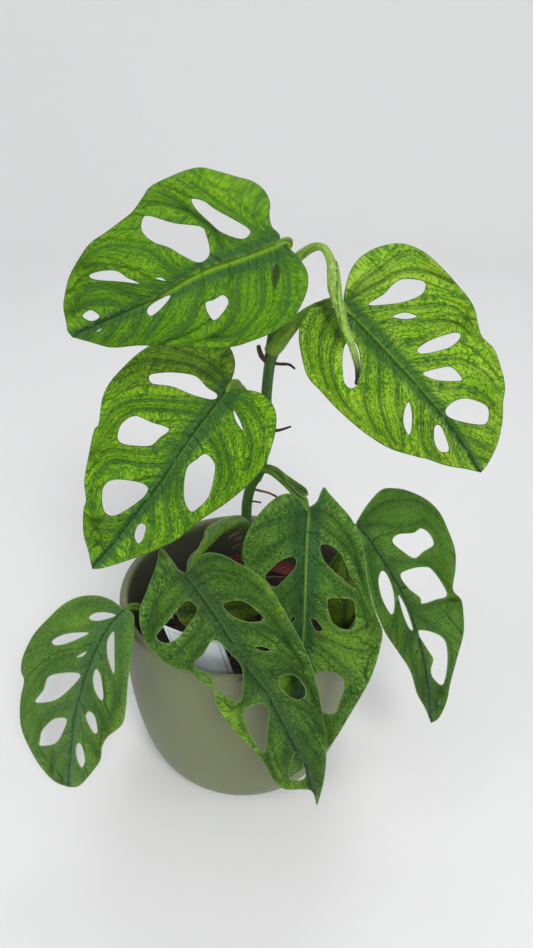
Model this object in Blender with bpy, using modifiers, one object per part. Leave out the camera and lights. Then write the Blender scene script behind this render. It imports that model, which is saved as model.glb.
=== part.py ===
"""A Swiss cheese plant, Monstera adansonii, in a thin nursery pot that stands in a round cover pot.

Frame: the origin is on the table under the cover pot's axis, +Z is up and -Y is the front.
Named sizes are millimetres, times MM. A leaf's outline and holes are points of the photograph,
in pixels, and each one is laid on that leaf's own curved surface along the viewer's line of sight,
so only the leaf's base, its tip, the way it faces and how much it arches are set in millimetres.
"""
import math

import bmesh
import bpy
from mathutils import Vector, geometry, noise

MM = 0.001

# Driving sizes
POT_RADIUS = 75 * MM
POT_HEIGHT = 130 * MM
POT_BASE_RADIUS = 40 * MM
POT_WALL = 5 * MM
POT_FLOOR = 6 * MM
POT_BELLY = 2.94
POT_RINGS = 10
RIM_RINGS = 4
TURN_STEPS = 40

# What touching pieces keep between them
GAP = 0.3 * MM

LINER_RADIUS = 59 * MM
LINER_TOP = 106 * MM
LINER_COLLAR = 10 * MM
LINER_STEP = 2.2 * MM
LINER_BASE_RADIUS = 40 * MM
LINER_WALL = 1 * MM
DRAIN_HOLES = 6
DRAIN_RADIUS = 3.5 * MM
DRAIN_CIRCLE = 26 * MM

SOIL_TOP = 97 * MM
SOIL_RINGS = 7
SOIL_ROUND = 1 * MM
SOIL_LUMP = 9 * MM
SOIL_ROUGHNESS = 1.4 * MM

TAG_WIDTH = 34 * MM
TAG_HEIGHT = 74 * MM
TAG_THICKNESS = 0.8 * MM
TAG_BOW = 1.5 * MM
TAG_COLUMNS = 6
TAG_CORNER = Vector((-41, -54, 147)) * MM
TAG_ACROSS = Vector((0.935, -0.351, 0.058))
TAG_DOWN = Vector((0.148, 0.237, -0.960))

BLADE_THICKNESS = 0.8 * MM
BOUNDARY_STEP = 5.6 * MM
INNER_STEP = 10 * MM
EDGE_CLEARANCE = 0.45 * INNER_STEP
RIPPLE_HEIGHT = 1.1 * MM
RIPPLE_LENGTH = 40 * MM
RIPPLE_SHIFT = 1.3
BLADE_HALF_WIDTH = 45 * MM
FOLD_SOFTNESS = 8 * MM

# The midrib's ridge under a blade, as a share of the petiole's end, and at least this thick
RIB_SHARE = 0.85
RIB_LEAST = 0.55 * MM
RIB_SINK = 0.15 * MM

# The viewer of the photograph: where the lens is, how far it looks down and leans, and its length
PHOTO_SIZE = (533, 948)
EYE = Vector((12.4, -327.8, 412.1)) * MM
EYE_PITCH = math.radians(31.72)
EYE_LEAN = math.radians(1.05)
LENS_PIXELS = 700

# Leaf traces, in pixels of the photograph: both margins run from the base to the tip
TOP_LEAF = dict(
    base=(279, 244.5), tip=(72, 337),
    midrib=[(243, 258.5), (201.5, 273), (153.5, 300), (115.5, 317)],
    side_one=[(280, 242), (279.5, 234.5), (272, 226.5), (269.5, 215.5), (270, 202.5), (264.5, 190.5),
              (253, 181.5), (236, 176.5), (217, 171), (200, 167.5), (182.5, 171.5), (163.5, 179.5),
              (149.5, 187.5), (142.5, 197.5), (132.5, 211.5), (121.5, 220.5), (107, 231.5), (90.5, 243),
              (78.5, 259.5), (69, 277.5), (64.5, 296.5), (63.5, 308.5), (66.5, 324), (67.5, 331)],
    side_two=[(281.5, 244.5), (293, 251.5), (302.5, 263), (307.5, 273), (308, 286), (303, 301.5),
              (293, 318), (275.5, 331), (253, 340.5), (231, 347), (201.5, 347.5), (170.5, 346.5),
              (139.5, 345.5), (112, 347.5), (91.5, 342.5)],
    holes=[
        [(191.5, 199), (203.5, 201), (215.5, 209.5), (231, 218), (247, 227.5), (250, 233.5), (241.5, 239),
         (222, 232.5), (210, 222.5), (196.5, 209.5)],
        [(143, 218), (150, 216), (174, 223), (200, 226.5), (206, 234.5), (209.5, 254), (199, 262.5),
         (182.5, 255.5), (169, 247.5), (153.5, 242), (142, 231)],
        [(89.5, 275), (101.5, 271), (116.5, 271), (127.5, 278), (139.5, 283.5), (119, 281.5), (95, 279.5)],
        [(155, 278.5), (161, 277.5), (165.5, 281)],
        [(168.5, 295), (169.5, 298.5), (159.5, 310), (150.5, 316), (147, 310), (153.5, 302.5)],
        [(206, 302.5), (213.5, 300), (223, 295), (228.5, 302.5), (220.5, 315.5), (213.5, 320), (207, 311)],
        [(82.5, 316), (90.5, 310), (99.5, 316.5), (91.5, 321)],
        [(96, 331.5), (99, 329.5), (102, 327.5), (99, 331.5)],
        [(275.5, 262), (280, 273), (274.5, 288), (272, 273)],
    ])

RIGHT_LEAF = dict(
    base=(344.5, 308), tip=(481.5, 472.5),
    midrib=[(366.5, 329.5), (384, 348), (401.5, 366.5), (425.5, 394), (449.5, 423)],
    side_one=[(343.5, 298.5), (345.5, 287.5), (350, 272), (358.5, 259), (371.5, 250), (385.5, 245),
              (401.5, 243.5), (417.5, 248.5), (430.5, 257), (448, 274), (462, 290), (473.5, 306.5),
              (478, 324), (482, 336.5), (494, 349), (501, 368.5), (505, 387), (503, 402), (502.5, 419.5),
              (498, 442), (489.5, 461)],
    side_two=[(338, 307.5), (326.5, 307), (314.5, 306.5), (305, 314.5), (299, 332), (301, 353),
              (307.5, 376), (322, 392.5), (342.5, 414), (365, 433), (389, 448), (416, 456.5), (427, 459),
              (446, 465.5), (465.5, 469)],
    holes=[
        [(368.5, 304.5), (384, 294), (393.5, 284), (404, 279), (423, 281), (425.5, 287.5), (420.5, 295),
         (405, 301.5), (385.5, 304.5)],
        [(392.5, 316.5), (405, 312.5), (417, 316.5), (405, 319)],
        [(418, 348.5), (433.5, 339), (456, 332.5), (460.5, 337), (451, 346.5), (433.5, 352),
         (420.5, 353.5)],
        [(423, 373.5), (440, 368), (452, 367.5), (462, 378.5), (456, 381), (436.5, 380)],
        [(445.5, 411.5), (452.5, 402.5), (467, 398.5), (487, 406.5), (487.5, 421.5), (478, 424.5),
         (454, 419.5)],
        [(342.5, 368.5), (342.5, 356), (345, 345), (352.5, 340), (358.5, 349), (360.5, 365.5),
         (358, 382.5), (351.5, 388.5), (344.5, 383)],
        [(409, 402), (412, 413.5), (411.5, 428.5), (408.5, 435), (403.5, 423.5), (404.5, 410)],
        [(434.5, 427), (440, 425.5), (445, 435), (449, 450), (440.5, 451.5), (434.5, 442)],
    ])

LEFT_LEAF = dict(
    base=(229, 389), tip=(92, 569),
    midrib=[(210, 413.5), (187, 444), (172, 467), (156.5, 490), (130.5, 522), (110.5, 548)],
    side_one=[(231, 381.5), (234.5, 370), (234.5, 358.5), (228.5, 346), (211.5, 336), (187, 333),
              (164, 337.5), (147.5, 347), (129, 361.5), (113, 378.5), (103.5, 395), (99, 422.5),
              (94, 430.5), (89.5, 451.5), (84.5, 479.5), (86, 500), (83.5, 510), (83.5, 533), (88.5, 552)],
    side_two=[(242.5, 389.5), (256, 391.5), (266, 396.5), (273, 405), (276.5, 418), (274, 438.5),
              (264.5, 465.5), (248.5, 484.5), (227, 502.5), (201, 520), (178, 539), (153.5, 551),
              (126, 561), (103, 568)],
    holes=[
        [(149, 376.5), (155, 373.5), (173.5, 372.5), (195, 376), (207, 387.5), (217, 394.5),
         (212.5, 399.5), (193.5, 395), (172, 386.5), (152.5, 383.5)],
        [(117.5, 436.5), (122, 423.5), (135, 416), (150.5, 422), (169, 429), (159.5, 438), (150.5, 445.5),
         (133.5, 445.5), (121.5, 443)],
        [(102, 494.5), (105.5, 484), (116.5, 479.5), (139.5, 482.5), (148, 489), (139.5, 500.5),
         (116.5, 515), (104.5, 511.5)],
        [(186.5, 469.5), (196.5, 459.5), (205.5, 454), (214, 462.5), (214.5, 474.5), (209.5, 494.5),
         (201, 505.5), (191, 511.5), (184, 497.5)],
        [(137, 526.5), (141.5, 523.5), (146, 526.5), (143, 539), (138, 543.5), (134.5, 536.5)],
        [(233.5, 410.5), (239, 419), (243, 430.5), (236, 421)],
    ])

RIM_LEAF = dict(
    base=(125, 609.5), tip=(69, 787.5),
    midrib=[(116.5, 618), (107, 630.5), (97, 649), (88, 671), (80, 696.5), (74.5, 720.5), (71.5, 748.5)],
    side_one=[(120, 606), (110.5, 599.5), (97, 595.5), (80, 596.5), (64.5, 603.5), (49.5, 617),
              (35.5, 632), (25.5, 650), (21, 670), (24, 680.5), (20.5, 699.5), (21, 726), (28, 745),
              (39.5, 765), (53.5, 780.5)],
    side_two=[(133.5, 614.5), (134, 630.5), (132, 653), (128, 681), (126, 706.5), (122, 724.5),
              (108, 736.5), (102, 747), (100, 760.5), (88.5, 776.5), (79, 786)],
    holes=[
        [(89, 617.5), (95.5, 613), (107, 612.5), (115.5, 615.5), (102.5, 620), (93.5, 620.5)],
        [(52, 641.5), (59, 636.5), (71.5, 633), (88.5, 633), (77.5, 639), (64.5, 644), (55, 645)],
        [(76.5, 657), (86.5, 651.5), (83, 656)],
        [(48.5, 677), (63.5, 673), (77.5, 673), (80, 677), (70.5, 688), (55, 700), (35.5, 702),
         (43.5, 690)],
        [(40, 740), (42.5, 730), (53.5, 719.5), (66, 718.5), (64.5, 728.5), (55.5, 743), (40, 745.5)],
        [(114, 632), (114.5, 650), (114, 673.5), (108, 658.5), (107, 643), (110.5, 634.5)],
        [(96.5, 669), (101, 677), (103.5, 696.5), (101, 700), (95, 691), (93, 677)],
        [(90, 711.5), (95, 717), (97.5, 731), (94, 733), (87, 721.5), (86, 714.5)],
        [(79, 743), (82.5, 747), (85, 760.5), (81.5, 767.5), (76.5, 757.5), (76, 747)],
    ])

FRONT_LEAF = dict(
    base=(185, 573.5), tip=(317, 806.5),
    midrib=[(207.5, 603.5), (221.5, 624.5), (237, 648.5), (250.5, 671), (268, 693.5), (285, 726),
            (297, 750), (309, 777.5)],
    side_one=[(178.5, 569.5), (170.5, 558), (160.5, 548.5), (156, 566), (146.5, 591.5), (140, 609),
              (140, 624.5), (147, 643.5), (159.5, 658), (175, 668.5), (189.5, 671.5), (199.5, 681),
              (212, 689), (216, 703.5), (226.5, 721), (240, 737), (255.5, 752.5), (266, 766.5),
              (273, 779.5), (285, 789), (310, 790.5)],
    side_two=[(194, 562.5), (199.5, 556), (209, 552.5), (223, 555), (240, 564), (255.5, 572.5),
              (269.5, 586.5), (283.5, 609), (299.5, 638), (312.5, 667.5), (319.5, 695), (324.5, 722.5),
              (326.5, 746.5), (325, 774), (320.5, 795)],
    holes=[
        [(211, 642), (218, 641.5), (228, 651), (240, 664), (243, 678), (240, 701), (226.5, 696),
         (214.5, 688), (210, 675), (197, 668.5), (194.5, 662.5), (204, 653)],
        [(244, 710.5), (253, 705.5), (263.5, 704), (268.5, 712), (267, 731), (264.5, 752.5), (255.5, 743),
         (247, 726)],
        [(156.5, 636.5), (167, 622.5), (177.5, 609.5), (185, 601.5), (193, 602.5), (197, 610.5),
         (187.5, 626), (176.5, 639), (165.5, 643)],
        [(223, 605.5), (230, 601), (244.5, 601.5), (259, 613), (263.5, 619.5), (250.5, 622),
         (233.5, 616.5)],
        [(255.5, 647), (264.5, 647), (270.5, 650.5), (261, 650.5)],
        [(278.5, 681.5), (285, 675), (295.5, 676), (304, 686.5), (305.5, 695), (298, 699.5), (286.5, 694)],
        [(296.5, 752.5), (302, 762), (305.5, 776.5), (298, 780.5), (290, 778.5), (291, 764)],
    ])

CENTRE_LEAF = dict(
    base=(309, 507), tip=(282.5, 783.5),
    midrib=[(307.5, 526), (306, 549.5), (305, 581.5), (304, 613.5), (302.5, 642), (298.5, 685),
            (292, 733)],
    side_one=[(305, 501), (297, 496), (286, 493.5), (274.5, 498.5), (262, 510), (250.5, 526),
              (243.5, 543.5), (243, 559.5), (249, 572), (258.5, 588), (268.5, 613.5), (273, 642),
              (273, 677.5), (276, 718.5), (280, 757)],
    side_two=[(312, 505.5), (317, 501), (320.5, 492.5), (324, 487), (329, 493), (338.5, 503.5),
              (351, 518), (360, 535.5), (364.5, 553), (367.5, 575), (370.5, 594.5), (377.5, 617.5),
              (382.5, 631), (380.5, 647), (373.5, 671), (364, 691), (349, 716.5), (328, 748),
              (301.5, 769.5)],
    holes=[
        [(265, 576.5), (276, 564), (286, 558), (294.5, 557), (295.5, 566.5), (284, 580), (273.5, 588.5),
         (268.5, 582.5)],
        [(320.5, 545.5), (330.5, 545.5), (341, 554.5), (349.5, 573.5), (356, 589), (344, 580),
         (332, 569.5), (323.5, 559.5)],
        [(327.5, 602.5), (332, 598), (345, 598.5), (353, 600.5), (355.5, 613.5), (354, 627), (343, 629),
         (332, 621.5)],
        [(310.5, 618.5), (316, 620), (322.5, 630), (315.5, 630)],
        [(290.5, 621.5), (293, 616.5), (295.5, 616.5), (292.5, 622.5)],
        [(316.5, 673.5), (332, 672.5), (342.5, 678), (344, 688.5), (338.5, 704.5), (335, 713),
         (323.5, 711.5), (319, 693)],
    ])

OUTER_LEAF = dict(
    base=(357, 522), tip=(431.5, 723.5),
    midrib=[(372.5, 541.5), (386.5, 563), (398, 582), (409, 604.5), (418.5, 633), (425, 660),
            (429.5, 693.5)],
    side_one=[(362, 512.5), (369, 502.5), (381, 490), (393, 488), (409, 491), (428, 500.5), (441, 514.5),
              (449.5, 533.5), (455.5, 553.5), (455, 572.5), (453, 589.5), (461, 599.5), (463.5, 615.5),
              (463, 636), (456.5, 660), (450.5, 682.5), (446.5, 701.5), (439.5, 717)],
    side_two=[(356.5, 531), (359.5, 553.5), (364, 571), (368.5, 586), (374, 606), (379.5, 620.5),
              (386, 634), (398, 652), (410, 670.5), (417, 693.5), (425, 708)],
    holes=[
        [(392.5, 541.5), (398, 534.5), (413, 533), (421, 528.5), (429.5, 534), (433.5, 544.5),
         (423.5, 551.5), (414.5, 558), (402.5, 551)],
        [(400.5, 575), (409, 569.5), (423.5, 567), (433, 571), (447, 594), (436, 599.5), (422, 603.5),
         (420, 597.5), (408, 587.5)],
        [(378.5, 582), (381, 571.5), (386.5, 574), (393, 590), (394.5, 607.5), (391, 614), (382.5, 599.5)],
        [(398.5, 595), (406, 607.5), (413, 629.5), (408, 626), (402, 610.5)],
        [(418.5, 631.5), (433, 632.5), (445, 641), (447.5, 658.5), (445.5, 677.5), (441.5, 685),
         (433, 677.5), (431, 669), (433, 658.5), (426.5, 647.5)],
    ])

# The bright flap of sheath beside the centre leaf's petiole, traced like a leaf
CENTRE_SHEATH = dict(
    base=(277, 471), tip=(308.5, 494), midrib=[(288, 479), (298, 487)],
    side_one=[(283, 472.5), (296, 481), (306, 488)],
    side_two=[(283, 479), (293, 489), (303, 497)],
    holes=[])

# How each blade lies: how many millimetres behind the pot's axis its base and its tip are, minus
# being in front, the way it faces, how far its middle arches up, and how much its halves fold down
LIES = dict(
    leaf_top=dict(trace=TOP_LEAF, base_y=-12, tip_y=-34, face=(0.05, -0.80, 0.60), arch=8, fold=0.10),
    leaf_right=dict(trace=RIGHT_LEAF, base_y=-8, tip_y=-42, face=(0.20, -0.75, 0.65), arch=8, fold=0.08),
    leaf_left=dict(trace=LEFT_LEAF, base_y=-12, tip_y=-62, face=(-0.15, -0.75, 0.65), arch=10, fold=0.10),
    leaf_over_rim=dict(trace=RIM_LEAF, base_y=-38, tip_y=-86, face=(-0.30, -0.70, 0.65), arch=10, fold=0.10),
    leaf_front=dict(trace=FRONT_LEAF, base_y=-50, tip_y=-106, face=(-0.22, -0.80, 0.60), arch=19, fold=0.04),
    leaf_centre=dict(trace=CENTRE_LEAF, base_y=-24, tip_y=-91, face=(-0.05, -0.80, 0.60), arch=17, fold=0.06),
    leaf_outer=dict(trace=OUTER_LEAF, base_y=-14, tip_y=-52, face=(0.25, -0.75, 0.60), arch=10, fold=0.08),
)
SHEATH_LIE = dict(trace=CENTRE_SHEATH, base_y=-1, tip_y=-19, face=(0.2, -0.80, 0.60), arch=1.5, fold=0)

# Stalks: (pixel, millimetres behind the pot's axis, radius in millimetres)
STEM = [
    ((246, 640), 11, 3.0), ((246, 612), 11, 3.1), ((246, 560), 9, 3.1), ((246.5, 534), 7, 3.2),
    ((246.5, 528), 6, 3.5), ((246.5, 521), 6, 3.1), ((247, 503), 6, 3.0), ((251, 486), 6, 3.0),
    ((256, 477), 6, 3.3), ((260, 470), 5, 3.0), ((264, 450), 5, 2.9), ((265, 432), 4, 3.2),
    ((266, 418), 4, 2.8), ((266.5, 395), 3, 2.8), ((268.5, 373), 1, 2.8), ((270.5, 360), 0, 2.9),
    ((271.5, 355), 0, 3.2), ((272, 340), 1, 2.6), ((277, 315), 3, 2.5), ((284, 292), 4, 2.6),
    ((287, 282), 5, 2.4),
]
ROOTS = [
    [((268, 362), 0, 1.3), ((263, 358), -2, 1.3), ((259.5, 351), -3, 1.2), ((258.5, 345), -2, 0.9)],
    [((272, 363), 0, 0.9), ((280, 364), -1, 0.8), ((289, 364.5), -2, 0.7), ((295, 369), -3, 0.5)],
    [((266, 432), 4, 1.1), ((276.5, 430.5), 2, 0.9), ((282, 429.5), 1, 0.7), ((291, 426.5), 0, 0.5)],
    [((251, 489), 6, 0.8), ((259, 490.5), 3, 0.7), ((269, 493), 1, 0.6), ((277, 497), 0, 0.6)],
    [((248, 501), 6, 0.6), ((255, 501.5), 3, 0.55), ((261, 502.5), 1, 0.5)],
]
PETIOLES = dict(
    leaf_top=[
        ((281, 301), 4, 2.0), ((280, 292), -3, 2.0), ((283, 274), -8, 2.0), ((288, 255), -10, 2.0),
        ((289, 246), -10, 1.9), ((285, 241.5), -11, 1.8)],
    leaf_right=[
        ((270.5, 353), 0, 2.7), ((277, 344), 0, 2.8), ((286, 333), 0, 2.5), ((299, 320), 1, 2.1),
        ((314, 309.5), 0, 1.9), ((328, 303.5), -2, 1.8), ((339, 303), -5, 1.7)],
    leaf_left=[
        ((265, 434), 4, 2.3), ((258, 416), 5, 2.3), ((249, 400), 3, 2.1), ((240, 389), -1, 2.0),
        ((233, 385), -7, 1.9)],
    leaf_over_rim=[
        ((246, 608), 11, 1.9), ((228, 610), 0, 2.3), ((207, 612), -8, 2.3), ((187, 612), -15, 2.2),
        ((160, 610), -24, 2.0), ((141, 608), -31, 1.9), ((130, 607.5), -35, 1.8)],
    leaf_front=[
        ((246.5, 526), 6, 2.7), ((241, 521), -1, 2.8), ((231, 522), -10, 2.7), ((221, 527.5), -18, 2.5),
        ((211, 537), -26, 2.4), ((201.5, 549), -35, 2.2), ((191.5, 563), -43, 2.0)],
    leaf_centre=[
        ((261, 469), 5, 2.3), ((270, 470), 0, 2.4), ((280, 477), -6, 2.4), ((290, 487), -12, 2.2),
        ((298, 496), -18, 2.0), ((304, 501.5), -21, 1.8)],
    leaf_outer=[
        ((246, 580), 10, 2.0), ((262, 588), 4, 2.2), ((292, 591), -2, 2.2), ((318, 582), -5, 2.1),
        ((337, 561), -8, 2.0), ((349, 539), -10, 1.9), ((354.5, 527), -12, 1.8)],
)
NEW_LEAF_STALK = [
    ((286, 286), 5, 1.9), ((290, 272), 6, 1.9), ((297, 259), 6, 2.0), ((305, 252), 4, 1.9),
    ((313, 247.5), 1, 1.7), ((320, 246.5), -3, 1.5), ((325, 249.5), -6, 1.5), ((329, 256), -9, 1.6),
    ((331.5, 263), -11, 1.8),
]
NEW_LEAF_ROLL = [
    ((331.5, 262), -11, 2.0), ((332.5, 272), -13, 2.4), ((334, 288), -17, 2.7), ((337, 301), -20, 2.2),
    ((340, 311), -22, 2.1), ((344, 326), -24, 1.9), ((350, 341), -26.5, 1.6), ((355, 355), -28, 1.3),
    ((357.5, 366), -28, 1.1), ((357.5, 376), -27, 0.8), ((356, 384), -26, 0.5),
]

STEM_SIDES = 10
STALK_SIDES = 8
ROOT_SIDES = 6

# The new leaf's roll: its section grows by the step of one overlap as it goes round
ROLL_SIDES = 10
ROLL_LEAST = 0.86
ROLL_STEP = 0.24

# Colours, linear, with roughness
OLIVE = ((0.180, 0.200, 0.135), 0.45)
TERRACOTTA = ((0.230, 0.045, 0.025), 0.5)
BARK = ((0.035, 0.020, 0.013), 0.95)
WHITE = ((0.75, 0.78, 0.78), 0.4)
STEM_GREEN = ((0.075, 0.165, 0.040), 0.45)
BRIGHT_GREEN = ((0.130, 0.330, 0.020), 0.4)
DEEP_GREEN = ((0.050, 0.170, 0.030), 0.4)
NEW_GREEN = ((0.230, 0.430, 0.080), 0.4)
YOUNG_LEAVES = ("leaf_top", "leaf_right", "leaf_left")


def collection(name):
    made = bpy.data.collections.new(name)
    bpy.context.scene.collection.children.link(made)
    return made


def material(name, look):
    colour, roughness = look
    made = bpy.data.materials.new(name)
    made.use_nodes = True
    shader = made.node_tree.nodes["Principled BSDF"]
    shader.inputs["Base Color"].default_value = (*colour, 1)
    shader.inputs["Roughness"].default_value = roughness
    shader.inputs["Metallic"].default_value = 0
    return made


def add_object(name, data, home, look=None):
    made = bpy.data.objects.new(name, data)
    home.objects.link(made)
    if look:
        data.materials.append(material(name, look))
    return made


def as_cutter(thing):
    thing.hide_render = True
    thing.display_type = "WIRE"
    return thing


def baked(thing):
    """Puts the evaluated mesh in place of the object's modifiers."""
    bpy.context.view_layer.update()
    evaluated = thing.evaluated_get(bpy.context.evaluated_depsgraph_get())
    data = bpy.data.meshes.new_from_object(evaluated)
    thing.modifiers.clear()
    thing.data = data
    return data


def combine(target, other, operation):
    step = target.modifiers.new(operation.lower() + "_" + other.name, "BOOLEAN")
    step.object = other
    step.operation = operation


def smooth(mesh, degrees):
    mesh.shade_smooth()
    mesh.set_sharp_from_angle(angle=math.radians(degrees))


# Lines of sight

def line_of_sight(pixel):
    """The direction from the eye through a pixel of the photograph."""
    forward = Vector((0, math.cos(EYE_PITCH), -math.sin(EYE_PITCH)))
    level = Vector((1, 0, 0))
    upright = level.cross(forward)
    right = level * math.cos(EYE_LEAN) + upright * math.sin(EYE_LEAN)
    up = upright * math.cos(EYE_LEAN) - level * math.sin(EYE_LEAN)
    across = (pixel[0] - PHOTO_SIZE[0] / 2) / LENS_PIXELS
    down = (pixel[1] - PHOTO_SIZE[1] / 2) / LENS_PIXELS
    return forward + right * across - up * down


def on_sight(pixel, y):
    """The point seen at a pixel that is y behind the pot's axis."""
    ray = line_of_sight(pixel)
    return EYE + ray * ((y - EYE.y) / ray.y)


def spline(points, steps, closed=False):
    """A smooth curve through the points, with steps[i] pieces from point i to the next."""
    count = len(points)
    curve = []
    for i in range(count if closed else count - 1):
        start = points[i]
        end = points[(i + 1) % count]
        before = points[i - 1] if closed or i > 0 else start * 2 - end
        after = points[(i + 2) % count] if closed or i + 2 < count else end * 2 - start
        for k in range(steps[i]):
            u = k / steps[i]
            curve.append(0.5 * (
                start * 2 + (end - before) * u
                + (before * 2 - start * 5 + end * 4 - after) * u ** 2
                + (start * 3 - before - end * 3 + after) * u ** 3))
    if not closed:
        curve.append(points[-1].copy())
    return curve


def boundary_steps(points, closed=False):
    ends = points[1:] + points[:1] if closed else points[1:]
    return [max(1, round((b - a).length / BOUNDARY_STEP)) for a, b in zip(points, ends)]


class Blade:
    """A leaf blade's surface: s runs from base to tip, t runs across, h rises towards the face."""

    def __init__(self, trace, base_y, tip_y, face, arch, fold):
        self.trace = trace
        self.base = on_sight(trace["base"], base_y * MM)
        self.tip = on_sight(trace["tip"], tip_y * MM)
        self.length = (self.tip - self.base).length
        self.s_axis = (self.tip - self.base).normalized()
        lean = Vector(face)
        self.h_axis = (lean - self.s_axis * lean.dot(self.s_axis)).normalized()
        self.t_axis = self.h_axis.cross(self.s_axis)
        self.arch = arch * MM
        self.fold = fold

    def height(self, s, t):
        along = s / self.length
        arch = self.arch * 4 * along * (1 - along)
        fold = self.fold * (math.hypot(t, FOLD_SOFTNESS) - FOLD_SOFTNESS)
        turn = math.tau * s / RIPPLE_LENGTH + (RIPPLE_SHIFT if t > 0 else 0)
        ripple = RIPPLE_HEIGHT * (t / BLADE_HALF_WIDTH) ** 2 * math.sin(turn)
        return arch - fold + ripple

    def point(self, s, t, off=0.0):
        return self.base + self.s_axis * s + self.t_axis * t + self.h_axis * (self.height(s, t) + off)

    def lay(self, pixel):
        """Where the line of sight through a pixel meets the surface, as (s, t)."""
        ray = line_of_sight(pixel)
        start = EYE - self.base
        h = 0.0
        for _ in range(40):
            hit = start + ray * ((h - start.dot(self.h_axis)) / ray.dot(self.h_axis))
            s = hit.dot(self.s_axis)
            t = hit.dot(self.t_axis)
            h = (h + self.height(s, t)) / 2
        return Vector((s, t))

    def margin(self):
        ends = [Vector((0, 0)), Vector((self.length, 0))]
        one = [ends[0]] + [self.lay(p) for p in self.trace["side_one"]] + [ends[1]]
        two = [ends[0]] + [self.lay(p) for p in self.trace["side_two"]] + [ends[1]]
        there = spline(one, boundary_steps(one))
        back = spline(two, boundary_steps(two))[::-1]
        return there[:-1] + back[:-1]

    def holes(self):
        loops = []
        for hole in self.trace["holes"]:
            points = [self.lay(p) for p in hole]
            loops.append(spline(points, boundary_steps(points, True), True))
        return loops

    def midrib(self):
        points = [self.lay(p) for p in self.trace["midrib"]]
        return [Vector((0, 0))] + points + [Vector((self.length, 0))]


def inside(point, loop):
    odd = False
    for a, b in zip(loop, loop[1:] + loop[:1]):
        if (a.y > point.y) != (b.y > point.y):
            if point.x < a.x + (point.y - a.y) * (b.x - a.x) / (b.y - a.y):
                odd = not odd
    return odd


def blade_mesh(name, blade):
    """The blade as triangles: its margin, its holes and a grid of points between them."""
    margin = blade.margin()
    holes = blade.holes()
    points = []
    edges = []
    for loop in [margin] + holes:
        first = len(points)
        points += loop
        edges += [(first + i, first + (i + 1) % len(loop)) for i in range(len(loop))]
    fence = list(points)
    low = Vector((min(p.x for p in margin), min(p.y for p in margin)))
    high = Vector((max(p.x for p in margin), max(p.y for p in margin)))
    row = 0
    s = low.x
    while s < high.x:
        t = low.y + (row % 2) * INNER_STEP / 2
        while t < high.y:
            spot = Vector((s, t))
            clear = min((spot - p).length for p in fence) > EDGE_CLEARANCE
            if clear and inside(spot, margin) and not any(inside(spot, hole) for hole in holes):
                points.append(spot)
            t += INNER_STEP
        s += INNER_STEP * math.sqrt(3) / 2
        row += 1
    flat = geometry.delaunay_2d_cdt(points, edges, [], 1, 1e-7)
    corners = flat[0]
    mesh = bmesh.new()
    made = [mesh.verts.new(blade.point(p.x, p.y)) for p in corners]
    for face in flat[2]:
        centre = sum((corners[i] for i in face), Vector((0, 0))) / len(face)
        if not any(inside(centre, hole) for hole in holes):
            mesh.faces.new([made[i] for i in face])
    loose = [v for v in mesh.verts if not v.link_faces]
    bmesh.ops.delete(mesh, geom=loose, context="VERTS")
    bmesh.ops.recalc_face_normals(mesh, faces=mesh.faces)
    data = bpy.data.meshes.new(name)
    mesh.to_mesh(data)
    mesh.free()
    return data


def blade_object(name, blade, home, look=None):
    made = add_object(name, blade_mesh(name, blade), home, look)
    shell = made.modifiers.new("thickness", "SOLIDIFY")
    shell.thickness = BLADE_THICKNESS
    shell.offset = 0
    smooth(baked(made), 60)
    return made


def knots_in_space(knots):
    return [(on_sight(pixel, y * MM), radius * MM) for pixel, y, radius in knots]


def tube(name, knots, home, sides=STALK_SIDES, smoothed=0, profile=None):
    """A tapered stalk through (point, radius) knots, as a closed mesh; its first knots get rings between."""
    steps = [2 if i < smoothed else 1 for i in range(len(knots) - 1)]
    path = spline([Vector((*point, radius)) for point, radius in knots], steps)
    curve = bpy.data.curves.new(name, "CURVE")
    curve.dimensions = "3D"
    curve.use_fill_caps = True
    if profile:
        curve.bevel_mode = "OBJECT"
        curve.bevel_object = profile
    else:
        curve.bevel_depth = MM
        curve.bevel_resolution = sides // 2 - 2
    line = curve.splines.new("POLY")
    line.points.add(len(path) - 1)
    for point, at in zip(line.points, path):
        point.co = (at[0], at[1], at[2], 1)
        point.radius = at[3] / MM
    guide = bpy.data.objects.new(name + "_guide", curve)
    home.objects.link(guide)
    bpy.context.view_layer.update()
    evaluated = guide.evaluated_get(bpy.context.evaluated_depsgraph_get())
    data = bpy.data.meshes.new_from_object(evaluated)
    data.name = name
    made = bpy.data.objects.new(name, data)
    made.matrix_world = guide.matrix_world
    home.objects.link(made)
    bpy.data.objects.remove(guide)
    mesh = bmesh.new()
    mesh.from_mesh(data)
    bmesh.ops.remove_doubles(mesh, verts=mesh.verts, dist=0.01 * MM)
    bmesh.ops.recalc_face_normals(mesh, faces=mesh.faces)
    mesh.to_mesh(data)
    mesh.free()
    return made


def fatter(knots, extra):
    return [(point, radius + extra) for point, radius in knots]


# Turned pieces

def turned(name, profile, steps, home, look=None):
    """A profile of (radius, height) from the inside, over the rim and down the outside, turned."""
    data = bpy.data.meshes.new(name)
    corners = [(radius, 0, height) for radius, height in profile]
    data.from_pydata(corners, [(i, i + 1) for i in range(len(corners) - 1)], [])
    made = add_object(name, data, home, look)
    screw = made.modifiers.new("turn", "SCREW")
    screw.steps = steps
    screw.render_steps = steps
    screw.use_merge_vertices = True
    screw.merge_threshold = 0.01 * MM
    return made


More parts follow.
